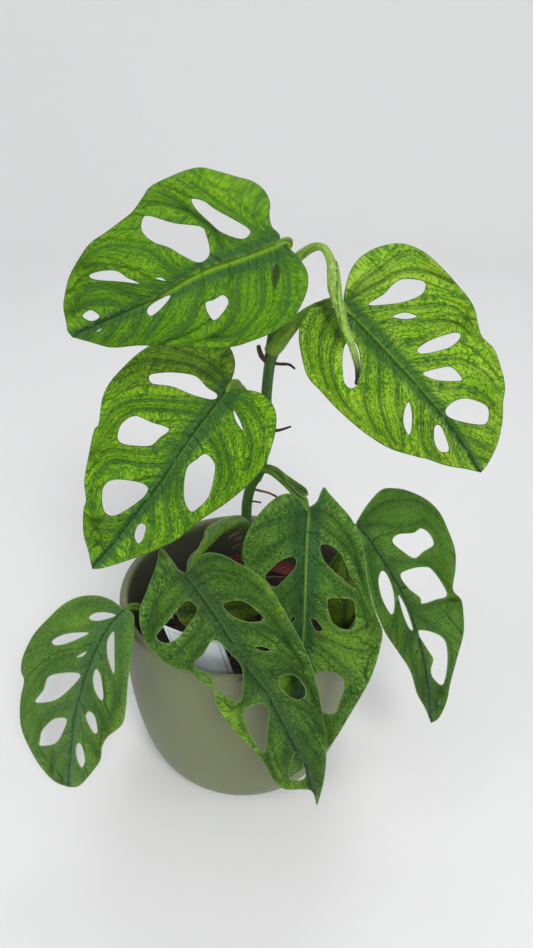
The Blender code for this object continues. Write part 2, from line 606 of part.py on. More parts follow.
def bellied(base_radius, top_radius, bottom, top):
    """The cover pot's curve, from its foot up to its rim: wide at once, then nearly upright."""
    points = []
    for i in range(POT_RINGS + 1):
        turn = math.pi / 2 * (1 - i / POT_RINGS)
        inward = math.sin(turn) ** (2 / POT_BELLY)
        outward = math.cos(turn) ** (2 / POT_BELLY) if i else 0.0
        points.append((base_radius + (top_radius - base_radius) * outward, top - (top - bottom) * inward))
    return points


def cover_pot(home):
    lip = POT_WALL / 2
    inner = bellied(POT_BASE_RADIUS - 4 * MM, POT_RADIUS - POT_WALL, POT_FLOOR, POT_HEIGHT - lip)
    outer = bellied(POT_BASE_RADIUS, POT_RADIUS, 0, POT_HEIGHT - lip)
    rim = []
    for i in range(1, RIM_RINGS):
        angle = math.pi * (1 - i / RIM_RINGS)
        rim.append((POT_RADIUS - lip + lip * math.cos(angle), POT_HEIGHT - lip + lip * math.sin(angle)))
    profile = [(0, POT_FLOOR)] + inner + rim + outer[::-1] + [(0, 0)]
    pot = turned("cover_pot", profile, TURN_STEPS, home, OLIVE)
    smooth(pot.data, 50)
    return pot


def liner_profile():
    """Half sections of the nursery pot's outside and inside, from the base up."""
    base = POT_FLOOR + GAP
    shoulder = LINER_TOP - LINER_COLLAR
    wall = LINER_WALL
    outside = [
        (LINER_BASE_RADIUS - 2 * MM, base), (LINER_BASE_RADIUS, base + 2 * MM),
        (LINER_RADIUS - LINER_STEP, shoulder), (LINER_RADIUS, shoulder), (LINER_RADIUS, LINER_TOP)]
    inside_wall = [
        (LINER_BASE_RADIUS - wall, base + wall), (LINER_RADIUS - LINER_STEP - wall, shoulder + wall),
        (LINER_RADIUS - wall, shoulder + wall), (LINER_RADIUS - wall, LINER_TOP)]
    return outside, inside_wall


def nursery_pot(home, cutters):
    outside, inside_wall = liner_profile()
    profile = [(0, inside_wall[0][1])] + inside_wall + outside[::-1] + [(0, outside[0][1])]
    liner = turned("nursery_pot", profile, TURN_STEPS, home, TERRACOTTA)
    for i in range(DRAIN_HOLES):
        angle = math.tau * i / DRAIN_HOLES
        drain = drain_cutter(f"drain_{i + 1}", cutters)
        drain.location = (DRAIN_CIRCLE * math.cos(angle), DRAIN_CIRCLE * math.sin(angle), outside[0][1])
        combine(liner, drain, "DIFFERENCE")
    return liner


def drain_cutter(name, cutters):
    data = bpy.data.meshes.new(name)
    mesh = bmesh.new()
    bmesh.ops.create_cone(
        mesh, cap_ends=True, segments=8, radius1=DRAIN_RADIUS, radius2=DRAIN_RADIUS, depth=6 * LINER_WALL)
    mesh.to_mesh(data)
    mesh.free()
    return as_cutter(add_object(name, data, cutters))


def potting_soil(home, stem_hole, tag_slot):
    inside_wall = liner_profile()[1]
    base_radius, base = inside_wall[0]
    shoulder_radius, shoulder = inside_wall[1]
    slope = (shoulder_radius - base_radius) / (shoulder - base)
    top_radius = base_radius + slope * (min(SOIL_TOP, shoulder) - base) - GAP
    bottom = base + GAP
    outward = [i / SOIL_RINGS for i in range(SOIL_RINGS + 1)]
    level = [(top_radius * share, SOIL_TOP - SOIL_ROUND * share ** 4) for share in outward]
    side = [(base_radius + slope * (z - base) - GAP, z) for z in (SOIL_TOP * 0.5, bottom + 1 * MM)]
    profile = level + side + [(base_radius - 3 * MM, bottom), (0, bottom)]
    soil = turned("soil", profile, TURN_STEPS, home)
    data = baked(soil)
    for corner in data.vertices:
        edge = math.hypot(corner.co.x, corner.co.y) > top_radius - 1 * MM
        if corner.co.z > SOIL_TOP - 2 * MM and not edge:
            corner.co.z += SOIL_ROUGHNESS * noise.noise(corner.co / SOIL_LUMP)
    data.materials.append(material("soil", BARK))
    combine(soil, stem_hole, "DIFFERENCE")
    combine(soil, tag_slot, "DIFFERENCE")
    return soil


def tag_mesh(name, grow):
    """The plant label: a thin plate, bowed across its width, grown on every side by grow."""
    data = bpy.data.meshes.new(name)
    mesh = bmesh.new()
    bmesh.ops.create_grid(mesh, x_segments=TAG_COLUMNS, y_segments=1, size=0.5)
    out = TAG_DOWN.cross(TAG_ACROSS).normalized()
    for corner in mesh.verts:
        across = corner.co.x + 0.5
        down = 0.5 - corner.co.y
        bow = TAG_BOW * 4 * across * (1 - across)
        corner.co = (TAG_CORNER + TAG_ACROSS.normalized() * (across * (TAG_WIDTH + 2 * grow) - grow)
                     + TAG_DOWN.normalized() * (down * (TAG_HEIGHT + 2 * grow) - grow) + out * bow)
    mesh.to_mesh(data)
    mesh.free()
    return data


def tag_plate(name, grow, home, look=None):
    plate = add_object(name, tag_mesh(name, grow), home, look)
    shell = plate.modifiers.new("thickness", "SOLIDIFY")
    shell.thickness = TAG_THICKNESS + 2 * grow
    shell.offset = 0
    return plate


# Living pieces

def stem_with_roots(home, cutters):
    knots = knots_in_space(STEM)
    stem = tube("stem", knots, home, sides=STEM_SIDES)
    stem.data.materials.append(material("stem", STEM_GREEN))
    for i, root in enumerate(ROOTS):
        knot = knots_in_space(root)
        piece = as_cutter(tube(f"aerial_root_{i + 1}", knot, cutters, sides=ROOT_SIDES))
        combine(stem, piece, "UNION")
    smooth(stem.data, 60)
    return stem


def stem_socket(cutters):
    return as_cutter(tube("stem_socket", fatter(knots_in_space(STEM), GAP), cutters, sides=STEM_SIDES))


def stalk_and_rib(blade, petiole):
    """The petiole's knots, then the midrib's, which run on under the blade and thin out."""
    knots = knots_in_space(petiole)
    start = petiole[-1][2] * MM * RIB_SHARE
    for i, spot in enumerate(blade.midrib()[:-1]):
        radius = max(start * (1 - spot.x / blade.length), RIB_LEAST)
        knots.append((blade.point(spot.x, spot.y, RIB_SINK - radius), radius))
    return knots


def leaf(name, home, cutters, socket, look):
    blade = Blade(**LIES[name])
    made = blade_object(name, blade, home, look)
    petiole = PETIOLES[name]
    stalk = as_cutter(
        tube(name + "_stalk", stalk_and_rib(blade, petiole), cutters, smoothed=len(petiole)))
    combine(made, stalk, "UNION")
    if name == "leaf_centre":
        flap = as_cutter(blade_object("centre_sheath", Blade(**SHEATH_LIE), cutters))
        combine(made, flap, "UNION")
    combine(made, socket, "DIFFERENCE")
    return made


def roll_section(cutters):
    """The new leaf's section: one turn of a spiral, with the step where the margin overlaps."""
    curve = bpy.data.curves.new("roll_section", "CURVE")
    curve.dimensions = "2D"
    line = curve.splines.new("POLY")
    line.points.add(ROLL_SIDES - 1)
    for i in range(ROLL_SIDES):
        angle = math.tau * i / ROLL_SIDES
        reach = MM * (ROLL_LEAST + ROLL_STEP * i / (ROLL_SIDES - 1))
        line.points[i].co = (reach * math.cos(angle), reach * math.sin(angle), 0, 1)
    line.use_cyclic_u = True
    return as_cutter(add_object("roll_section", curve, cutters))


def new_leaf(home, cutters, socket):
    roll = tube("new_leaf", knots_in_space(NEW_LEAF_ROLL), home, profile=roll_section(cutters))
    roll.data.materials.append(material("new_leaf", NEW_GREEN))
    stalk = tube(
        "new_leaf_stalk", knots_in_space(NEW_LEAF_STALK), cutters, smoothed=len(NEW_LEAF_STALK))
    as_cutter(stalk)
    combine(roll, stalk, "UNION")
    combine(roll, socket, "DIFFERENCE")
    smooth(roll.data, 60)
    return roll


def main():
    for old in list(bpy.data.objects):
        bpy.data.objects.remove(old)
    plant = collection("monstera_adansonii")
    cutters = collection("cutters")
    cover_pot(plant)
    nursery_pot(plant, cutters)
    socket = stem_socket(cutters)
    tag_plate("plant_label", 0, plant, WHITE)
    slot = as_cutter(tag_plate("label_slot", GAP, cutters))
    potting_soil(plant, socket, slot)
    stem_with_roots(plant, cutters)
    for name in LIES:
        leaf(name, plant, cutters, socket, BRIGHT_GREEN if name in YOUNG_LEAVES else DEEP_GREEN)
    new_leaf(plant, cutters, socket)


main()
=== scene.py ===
"""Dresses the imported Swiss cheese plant: veined leaves, stalks, roots, bark, both pots and the label.

The frame is metres with the origin on the table under the cover pot's axis, +Z up and -Y the front.
Named sizes are millimetres, times MM. Outlines, holes and veins are points of the photograph, in pixels,
and are laid on the same curved leaf surfaces that the solid model has, along the viewer's line of sight.
"""
import math
import random

import bmesh
import bpy
import numpy as np
from mathutils import Matrix, Vector, geometry, noise


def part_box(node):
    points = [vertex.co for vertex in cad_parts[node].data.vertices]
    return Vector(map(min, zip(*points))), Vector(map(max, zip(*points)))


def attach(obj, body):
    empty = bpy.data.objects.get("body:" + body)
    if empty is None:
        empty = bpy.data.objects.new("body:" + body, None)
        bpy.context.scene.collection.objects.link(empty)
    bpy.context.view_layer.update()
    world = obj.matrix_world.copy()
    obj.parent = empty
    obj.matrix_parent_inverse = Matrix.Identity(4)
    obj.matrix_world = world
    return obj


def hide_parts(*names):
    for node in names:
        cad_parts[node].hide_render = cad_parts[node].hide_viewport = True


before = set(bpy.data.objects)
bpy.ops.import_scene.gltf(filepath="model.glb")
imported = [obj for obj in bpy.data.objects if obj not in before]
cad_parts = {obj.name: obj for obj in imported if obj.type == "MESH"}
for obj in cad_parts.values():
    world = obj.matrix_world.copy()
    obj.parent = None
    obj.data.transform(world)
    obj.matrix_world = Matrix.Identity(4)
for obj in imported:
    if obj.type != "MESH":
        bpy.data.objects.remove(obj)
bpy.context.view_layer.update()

MM = 0.001
PER_MM = (1 / MM, 1 / MM, 1 / MM)
TINY = 1e-9

# The viewer of the photograph: where the lens is, how far it looks down and leans, and its length
PHOTO_SIZE = (533, 948)
EYE = Vector((12.4, -327.8, 412.1)) * MM
EYE_PITCH = math.radians(31.72)
EYE_LEAN = math.radians(1.05)
LENS_PIXELS = 700
SENSOR = 36

# Blades: the same surface as in the solid model, with a finer mesh and a bead round every edge
BLADE_THICKNESS = 0.55 * MM
BLADE_HALF_WIDTH = 45 * MM
FOLD_SOFTNESS = 8 * MM
RIPPLE_HEIGHT = 1.1 * MM
RIPPLE_LENGTH = 40 * MM
RIPPLE_SHIFT = 1.3
EDGE_STEP = 1.0 * MM
INNER_STEP = 1.25 * MM
BEAD_WIDTH = 0.35 * MM
BEAD_THINNING = 0.45

# The mesh's clear room round beads, vein points and grid points, how many points are compared at a
# time, how near two points are one, and how often a point is moved until it lies on the blade
BEAD_ROOM = 0.9 * BEAD_WIDTH
VEIN_ROOM = 0.6 * INNER_STEP
GRID_ROOM = 0.75 * INNER_STEP
POINTS_AT_A_TIME = 500
SAME_POINT = 1e-7
LAY_ROUNDS = 40

# Veins: their usual spacing, and how their ends run on, so that every spot has its place between two
# of them. The numbers of the two sides' veins stand far apart, and fine veins run between the veins
VEIN_SPACING = 12 * MM
VEIN_END = 4
VEIN_REACH = 6
SIDES_APART = 30
FINE_VEINS = 3

# Low relief: sunken veins and midrib, fine veins and puckers
VEIN_DEPTH = 1.2 * MM
VEIN_WIDTH = 2.6 * MM
RIB_DEPTH = 0.5 * MM
RIB_WIDTH = 2.4 * MM
FINE_DEPTH = 0.1 * MM
PUCKER = 0.5 * MM
PUCKER_LENGTH = 5 * MM
PUCKER_STRETCH = 2.5
SMALL_PUCKER = 0.6
LEAF_SEED = 90

# Where the relief fades out: near the margin, near the midrib and, for the fine veins, near a side vein
MARGIN_CALM = 4 * MM
RIB_CALM = 5 * MM
VEIN_CALM = 3 * MM

# Midribs that stand up, with the height near the base and its loss towards the tip, as shares
RIB_RIDGES = dict(leaf_top=0.7 * MM, leaf_centre=0.3 * MM)
RIDGE_RUN_OUT = (1.3, 1.8)

# How much deeper than the young leaves' the folds of the old ones are
CREASED = dict(leaf_front=1.6, leaf_centre=1.7, leaf_outer=1.4, leaf_over_rim=1.4)

# Leaf traces, in pixels of the photograph: both margins run from the base to the tip
TOP_LEAF = dict(
    base=(279, 244.5), tip=(72, 337),
    midrib=[(243, 258.5), (201.5, 273), (153.5, 300), (115.5, 317)],
    side_one=[(280, 242), (279.5, 234.5), (272, 226.5), (269.5, 215.5), (270, 202.5), (264.5, 190.5),
              (253, 181.5), (236, 176.5), (217, 171), (200, 167.5), (182.5, 171.5), (163.5, 179.5),
              (149.5, 187.5), (142.5, 197.5), (132.5, 211.5), (121.5, 220.5), (107, 231.5), (90.5, 243),
              (78.5, 259.5), (69, 277.5), (64.5, 296.5), (63.5, 308.5), (66.5, 324), (67.5, 331)],
    side_two=[(281.5, 244.5), (293, 251.5), (302.5, 263), (307.5, 273), (308, 286), (303, 301.5),
              (293, 318), (275.5, 331), (253, 340.5), (231, 347), (201.5, 347.5), (170.5, 346.5),
              (139.5, 345.5), (112, 347.5), (91.5, 342.5)],
    holes=[
        [(191.5, 199), (203.5, 201), (215.5, 209.5), (231, 218), (247, 227.5), (250, 233.5), (241.5, 239),
         (222, 232.5), (210, 222.5), (196.5, 209.5)],
        [(143, 218), (150, 216), (174, 223), (200, 226.5), (206, 234.5), (209.5, 254), (199, 262.5),
         (182.5, 255.5), (169, 247.5), (153.5, 242), (142, 231)],
        [(89.5, 275), (101.5, 271), (116.5, 271), (127.5, 278), (139.5, 283.5), (119, 281.5), (95, 279.5)],
        [(155, 278.5), (161, 277.5), (165.5, 281)],
        [(168.5, 295), (169.5, 298.5), (159.5, 310), (150.5, 316), (147, 310), (153.5, 302.5)],
        [(206, 302.5), (213.5, 300), (223, 295), (228.5, 302.5), (220.5, 315.5), (213.5, 320), (207, 311)],
        [(82.5, 316), (90.5, 310), (99.5, 316.5), (91.5, 321)],
        [(96, 331.5), (99, 329.5), (102, 327.5), (99, 331.5)],
        [(275.5, 262), (280, 273), (274.5, 288), (272, 273)],
    ])

RIGHT_LEAF = dict(
    base=(344.5, 308), tip=(481.5, 472.5),
    midrib=[(366.5, 329.5), (384, 348), (401.5, 366.5), (425.5, 394), (449.5, 423)],
    side_one=[(343.5, 298.5), (345.5, 287.5), (350, 272), (358.5, 259), (371.5, 250), (385.5, 245),
              (401.5, 243.5), (417.5, 248.5), (430.5, 257), (448, 274), (462, 290), (473.5, 306.5),
              (478, 324), (482, 336.5), (494, 349), (501, 368.5), (505, 387), (503, 402), (502.5, 419.5),
              (498, 442), (489.5, 461)],
    side_two=[(338, 307.5), (326.5, 307), (314.5, 306.5), (305, 314.5), (299, 332), (301, 353),
              (307.5, 376), (322, 392.5), (342.5, 414), (365, 433), (389, 448), (416, 456.5), (427, 459),
              (446, 465.5), (465.5, 469)],
    holes=[
        [(368.5, 304.5), (384, 294), (393.5, 284), (404, 279), (423, 281), (425.5, 287.5), (420.5, 295),
         (405, 301.5), (385.5, 304.5)],
        [(392.5, 316.5), (405, 312.5), (417, 316.5), (405, 319)],
        [(418, 348.5), (433.5, 339), (456, 332.5), (460.5, 337), (451, 346.5), (433.5, 352),
         (420.5, 353.5)],
        [(423, 373.5), (440, 368), (452, 367.5), (462, 378.5), (456, 381), (436.5, 380)],
        [(445.5, 411.5), (452.5, 402.5), (467, 398.5), (487, 406.5), (487.5, 421.5), (478, 424.5),
         (454, 419.5)],
        [(342.5, 368.5), (342.5, 356), (345, 345), (352.5, 340), (358.5, 349), (360.5, 365.5),
         (358, 382.5), (351.5, 388.5), (344.5, 383)],
        [(409, 402), (412, 413.5), (411.5, 428.5), (408.5, 435), (403.5, 423.5), (404.5, 410)],
        [(434.5, 427), (440, 425.5), (445, 435), (449, 450), (440.5, 451.5), (434.5, 442)],
    ])

LEFT_LEAF = dict(
    base=(229, 389), tip=(92, 569),
    midrib=[(210, 413.5), (187, 444), (172, 467), (156.5, 490), (130.5, 522), (110.5, 548)],
    side_one=[(231, 381.5), (234.5, 370), (234.5, 358.5), (228.5, 346), (211.5, 336), (187, 333),
              (164, 337.5), (147.5, 347), (129, 361.5), (113, 378.5), (103.5, 395), (99, 422.5),
              (94, 430.5), (89.5, 451.5), (84.5, 479.5), (86, 500), (83.5, 510), (83.5, 533), (88.5, 552)],
    side_two=[(242.5, 389.5), (256, 391.5), (266, 396.5), (273, 405), (276.5, 418), (274, 438.5),
              (264.5, 465.5), (248.5, 484.5), (227, 502.5), (201, 520), (178, 539), (153.5, 551),
              (126, 561), (103, 568)],
    holes=[
        [(149, 376.5), (155, 373.5), (173.5, 372.5), (195, 376), (207, 387.5), (217, 394.5),
         (212.5, 399.5), (193.5, 395), (172, 386.5), (152.5, 383.5)],
        [(117.5, 436.5), (122, 423.5), (135, 416), (150.5, 422), (169, 429), (159.5, 438), (150.5, 445.5),
         (133.5, 445.5), (121.5, 443)],
        [(102, 494.5), (105.5, 484), (116.5, 479.5), (139.5, 482.5), (148, 489), (139.5, 500.5),
         (116.5, 515), (104.5, 511.5)],
        [(186.5, 469.5), (196.5, 459.5), (205.5, 454), (214, 462.5), (214.5, 474.5), (209.5, 494.5),
         (201, 505.5), (191, 511.5), (184, 497.5)],
        [(137, 526.5), (141.5, 523.5), (146, 526.5), (143, 539), (138, 543.5), (134.5, 536.5)],
        [(233.5, 410.5), (239, 419), (243, 430.5), (236, 421)],
    ])

RIM_LEAF = dict(
    base=(125, 609.5), tip=(69, 787.5),
    midrib=[(116.5, 618), (107, 630.5), (97, 649), (88, 671), (80, 696.5), (74.5, 720.5), (71.5, 748.5)],
    side_one=[(120, 606), (110.5, 599.5), (97, 595.5), (80, 596.5), (64.5, 603.5), (49.5, 617),
              (35.5, 632), (25.5, 650), (21, 670), (24, 680.5), (20.5, 699.5), (21, 726), (28, 745),
              (39.5, 765), (53.5, 780.5)],
    side_two=[(133.5, 614.5), (134, 630.5), (132, 653), (128, 681), (126, 706.5), (122, 724.5),
              (108, 736.5), (102, 747), (100, 760.5), (88.5, 776.5), (79, 786)],
    holes=[
        [(89, 617.5), (95.5, 613), (107, 612.5), (115.5, 615.5), (102.5, 620), (93.5, 620.5)],
        [(52, 641.5), (59, 636.5), (71.5, 633), (88.5, 633), (77.5, 639), (64.5, 644), (55, 645)],
        [(76.5, 657), (86.5, 651.5), (83, 656)],
        [(48.5, 677), (63.5, 673), (77.5, 673), (80, 677), (70.5, 688), (55, 700), (35.5, 702),
         (43.5, 690)],
        [(40, 740), (42.5, 730), (53.5, 719.5), (66, 718.5), (64.5, 728.5), (55.5, 743), (40, 745.5)],
        [(114, 632), (114.5, 650), (114, 673.5), (108, 658.5), (107, 643), (110.5, 634.5)],
        [(96.5, 669), (101, 677), (103.5, 696.5), (101, 700), (95, 691), (93, 677)],
        [(90, 711.5), (95, 717), (97.5, 731), (94, 733), (87, 721.5), (86, 714.5)],
        [(79, 743), (82.5, 747), (85, 760.5), (81.5, 767.5), (76.5, 757.5), (76, 747)],
    ])

FRONT_LEAF = dict(
    base=(185, 573.5), tip=(317, 806.5),
    midrib=[(207.5, 603.5), (221.5, 624.5), (237, 648.5), (250.5, 671), (268, 693.5), (285, 726),
            (297, 750), (309, 777.5)],
    side_one=[(178.5, 569.5), (170.5, 558), (160.5, 548.5), (156, 566), (146.5, 591.5), (140, 609),
              (140, 624.5), (147, 643.5), (159.5, 658), (175, 668.5), (189.5, 671.5), (199.5, 681),
              (212, 689), (216, 703.5), (226.5, 721), (240, 737), (255.5, 752.5), (266, 766.5),
              (273, 779.5), (285, 789), (310, 790.5)],
    side_two=[(194, 562.5), (199.5, 556), (209, 552.5), (223, 555), (240, 564), (255.5, 572.5),
              (269.5, 586.5), (283.5, 609), (299.5, 638), (312.5, 667.5), (319.5, 695), (324.5, 722.5),
              (326.5, 746.5), (325, 774), (320.5, 795)],
    holes=[
        [(211, 642), (218, 641.5), (228, 651), (240, 664), (243, 678), (240, 701), (226.5, 696),
         (214.5, 688), (210, 675), (197, 668.5), (194.5, 662.5), (204, 653)],
        [(244, 710.5), (253, 705.5), (263.5, 704), (268.5, 712), (267, 731), (264.5, 752.5), (255.5, 743),
         (247, 726)],
        [(156.5, 636.5), (167, 622.5), (177.5, 609.5), (185, 601.5), (193, 602.5), (197, 610.5),
         (187.5, 626), (176.5, 639), (165.5, 643)],
        [(223, 605.5), (230, 601), (244.5, 601.5), (259, 613), (263.5, 619.5), (250.5, 622),
         (233.5, 616.5)],
        [(255.5, 647), (264.5, 647), (270.5, 650.5), (261, 650.5)],
        [(278.5, 681.5), (285, 675), (295.5, 676), (304, 686.5), (305.5, 695), (298, 699.5), (286.5, 694)],
        [(296.5, 752.5), (302, 762), (305.5, 776.5), (298, 780.5), (290, 778.5), (291, 764)],
    ])

CENTRE_LEAF = dict(
    base=(309, 507), tip=(282.5, 783.5),
    midrib=[(307.5, 526), (306, 549.5), (305, 581.5), (304, 613.5), (302.5, 642), (298.5, 685),
            (292, 733)],
    side_one=[(305, 501), (297, 496), (286, 493.5), (274.5, 498.5), (262, 510), (250.5, 526),
              (243.5, 543.5), (243, 559.5), (249, 572), (258.5, 588), (268.5, 613.5), (273, 642),
              (273, 677.5), (276, 718.5), (280, 757)],
    side_two=[(312, 505.5), (317, 501), (320.5, 492.5), (324, 487), (329, 493), (338.5, 503.5),
              (351, 518), (360, 535.5), (364.5, 553), (367.5, 575), (370.5, 594.5), (377.5, 617.5),
              (382.5, 631), (380.5, 647), (373.5, 671), (364, 691), (349, 716.5), (328, 748),
              (301.5, 769.5)],
    holes=[
        [(265, 576.5), (276, 564), (286, 558), (294.5, 557), (295.5, 566.5), (284, 580), (273.5, 588.5),
         (268.5, 582.5)],
        [(320.5, 545.5), (330.5, 545.5), (341, 554.5), (349.5, 573.5), (356, 589), (344, 580),
         (332, 569.5), (323.5, 559.5)],
        [(327.5, 602.5), (332, 598), (345, 598.5), (353, 600.5), (355.5, 613.5), (354, 627), (343, 629),
         (332, 621.5)],
        [(310.5, 618.5), (316, 620), (322.5, 630), (315.5, 630)],
        [(290.5, 621.5), (293, 616.5), (295.5, 616.5), (292.5, 622.5)],
        [(316.5, 673.5), (332, 672.5), (342.5, 678), (344, 688.5), (338.5, 704.5), (335, 713),
         (323.5, 711.5), (319, 693)],
    ])

OUTER_LEAF = dict(
    base=(357, 522), tip=(431.5, 723.5),
    midrib=[(372.5, 541.5), (386.5, 563), (398, 582), (409, 604.5), (418.5, 633), (425, 660),
            (429.5, 693.5)],
    side_one=[(362, 512.5), (369, 502.5), (381, 490), (393, 488), (409, 491), (428, 500.5), (441, 514.5),
              (449.5, 533.5), (455.5, 553.5), (455, 572.5), (453, 589.5), (461, 599.5), (463.5, 615.5),
              (463, 636), (456.5, 660), (450.5, 682.5), (446.5, 701.5), (439.5, 717)],
    side_two=[(356.5, 531), (359.5, 553.5), (364, 571), (368.5, 586), (374, 606), (379.5, 620.5),
              (386, 634), (398, 652), (410, 670.5), (417, 693.5), (425, 708)],
    holes=[
        [(392.5, 541.5), (398, 534.5), (413, 533), (421, 528.5), (429.5, 534), (433.5, 544.5),
         (423.5, 551.5), (414.5, 558), (402.5, 551)],
        [(400.5, 575), (409, 569.5), (423.5, 567), (433, 571), (447, 594), (436, 599.5), (422, 603.5),
         (420, 597.5), (408, 587.5)],
        [(378.5, 582), (381, 571.5), (386.5, 574), (393, 590), (394.5, 607.5), (391, 614), (382.5, 599.5)],
        [(398.5, 595), (406, 607.5), (413, 629.5), (408, 626), (402, 610.5)],
        [(418.5, 631.5), (433, 632.5), (445, 641), (447.5, 658.5), (445.5, 677.5), (441.5, 685),
         (433, 677.5), (431, 669), (433, 658.5), (426.5, 647.5)],
    ])

# How each blade lies: how many millimetres behind the pot's axis its base and its tip are, minus
# being in front, the way it faces, how far its middle arches up, and how much its halves fold down
LIES = dict(
    leaf_top=dict(trace=TOP_LEAF, base_y=-12, tip_y=-34, face=(0.05, -0.8, 0.6), arch=8, fold=0.10),
    leaf_right=dict(trace=RIGHT_LEAF, base_y=-8, tip_y=-42, face=(0.20, -0.75, 0.65), arch=8, fold=0.08),
    leaf_left=dict(trace=LEFT_LEAF, base_y=-12, tip_y=-62, face=(-0.15, -0.75, 0.65), arch=10, fold=0.10),
    leaf_over_rim=dict(trace=RIM_LEAF, base_y=-38, tip_y=-86, face=(-0.30, -0.7, 0.65), arch=10, fold=0.10),
    leaf_front=dict(trace=FRONT_LEAF, base_y=-50, tip_y=-106, face=(-0.22, -0.8, 0.6), arch=19, fold=0.04),
    leaf_centre=dict(trace=CENTRE_LEAF, base_y=-24, tip_y=-91, face=(-0.05, -0.8, 0.6), arch=17, fold=0.06),
    leaf_outer=dict(trace=OUTER_LEAF, base_y=-14, tip_y=-52, face=(0.25, -0.75, 0.6), arch=10, fold=0.08),
)

# Stalks are lists of (pixel, millimetres behind the pot's axis, radius in millimetres). Here are the
# stem, its roots and the thin dry roots by its foot
STEM = [
    ((246, 640), 11, 3.0), ((246, 612), 11, 3.1), ((246, 560), 9, 3.1), ((246.5, 534), 7, 3.2),
    ((246.5, 528), 6, 3.5), ((246.5, 521), 6, 3.1), ((247, 503), 6, 3.0), ((251, 486), 6, 3.0),
    ((256, 477), 6, 3.3), ((260, 470), 5, 3.0), ((264, 450), 5, 2.9), ((265, 432), 4, 3.2),
    ((266, 418), 4, 2.8), ((266.5, 395), 3, 2.8), ((268.5, 373), 1, 2.8), ((270.5, 360), 0, 2.9),
    ((271.5, 355), 0, 3.2), ((272, 340), 1, 2.6), ((277, 315), 3, 2.5), ((284, 292), 4, 2.6),
    ((287, 282), 5, 2.4),
]
ROOTS = [
    [((268, 362), 0, 1.3), ((263, 358), -2, 1.3), ((259.5, 351), -3, 1.2), ((258.5, 345), -2, 0.9)],
    [((272, 363), 0, 0.9), ((280, 364), -1, 0.8), ((289, 364.5), -2, 0.7), ((295, 369), -3, 0.5)],
    [((266, 432), 4, 1.1), ((276.5, 430.5), 2, 0.9), ((282, 429.5), 1, 0.7), ((291, 426.5), 0, 0.5)],
    [((251, 489), 6, 0.8), ((259, 490.5), 3, 0.7), ((269, 493), 1, 0.6), ((277, 497), 0, 0.6)],
    [((248, 501), 6, 0.6), ((255, 501.5), 3, 0.55), ((261, 502.5), 1, 0.5)],
]
DRY_ROOTS = [
    [((246, 530), 6, 0.6), ((239, 532), 3, 0.6), ((232, 536), 1, 0.5), ((228, 541), 0, 0.35)],
    [((246, 537), 6, 0.7), ((240, 538), 4, 0.6), ((234, 541), 2, 0.4)],
    [((246, 545), 7, 0.6), ((239, 545), 5, 0.6), ((232, 548.5), 4, 0.4)],
    [((250, 579), 9, 0.5), ((262, 577.5), 8, 0.55), ((276, 577), 8, 0.5), ((293, 578), 8, 0.4)],
]

# Petioles, from the stem to the blade
PETIOLES = dict(
    leaf_top=[
        ((281, 301), 4, 2.0), ((277.5, 290), -3, 2.0), ((276.5, 274), -7, 2.1), ((283, 257), -9, 2.0),
        ((289, 246), -10, 1.9), ((285, 241.5), -11, 1.8)],
    leaf_right=[
        ((270.5, 353), 0, 2.7), ((277, 344), 0, 2.8), ((286, 333), 0, 2.5), ((299, 320), 1, 2.1),
        ((314, 309.5), 0, 1.9), ((328, 303.5), -2, 1.8), ((339, 303), -5, 1.7)],
    leaf_left=[
        ((265, 434), 4, 2.3), ((258, 416), 5, 2.3), ((249, 400), 3, 2.1), ((240, 389), -1, 2.0),
        ((233, 385), -7, 1.9)],
    leaf_over_rim=[
        ((246, 608), 11, 1.9), ((228, 610), 0, 2.3), ((207, 612), -8, 2.3), ((187, 612), -15, 2.2),
        ((160, 610), -24, 2.0), ((141, 608), -31, 1.9), ((130, 607.5), -35, 1.8)],
    leaf_front=[
        ((246.5, 526), 6, 2.7), ((241, 521), -1, 2.8), ((231, 522), -10, 2.7), ((221, 527.5), -18, 2.5),
        ((211, 537), -26, 2.4), ((201.5, 549), -35, 2.2), ((191.5, 563), -43, 2.0)],
    leaf_centre=[
        ((261, 469), 5, 2.3), ((270, 470), 0, 2.4), ((280, 477), -6, 2.4), ((290, 487), -12, 2.2),
        ((298, 496), -18, 2.0), ((304, 501.5), -21, 1.8)],
    leaf_outer=[
        ((246, 580), 10, 2.0), ((262, 588), 4, 2.2), ((292, 591), -2, 2.2), ((318, 582), -5, 2.1),
        ((337, 561), -8, 2.0), ((349, 539), -10, 1.9), ((354.5, 527), -12, 1.8)],
)

# The new leaf: its stalk, then its roll down to the tip
NEW_LEAF_STALK = [
    ((286, 286), 5, 1.9), ((290, 272), 6, 1.9), ((297, 259), 6, 2.0), ((305, 252), 4, 1.9),
    ((313, 247.5), 1, 1.7), ((320, 246.5), -3, 1.5), ((325, 249.5), -6, 1.5), ((329, 256), -9, 1.6),
    ((331.5, 263), -11, 1.8),
]
NEW_LEAF_ROLL = [
    ((331.5, 262), -11, 2.0), ((332.5, 272), -13, 2.4), ((334, 288), -17, 2.7), ((337, 301), -20, 2.2),
    ((340, 311), -22, 2.1), ((344, 326), -24, 1.9), ((350, 341), -26.5, 1.6), ((355, 355), -28, 1.3),
    ((357.5, 366), -28, 1.1), ((357.5, 376), -27, 0.8), ((356, 384), -26, 0.5),
]

# The leaves with the colours of young ones
YOUNG_LEAVES = ("leaf_top", "leaf_right", "leaf_left")

# How much stouter the petioles are than their knots, where they swell
GIRTHS = dict(leaf_right=(1.35, 1.55, 1.5, 1.35, 1.15), leaf_top=(1.1, 1.1, 1.1, 1.1, 1.0, 0.85),
              leaf_left=(1.0, 1.0, 1.0, 1.15, 1.5), leaf_front=(1.0, 1.1, 1.25, 1.4, 1.35, 1.15, 1.0))

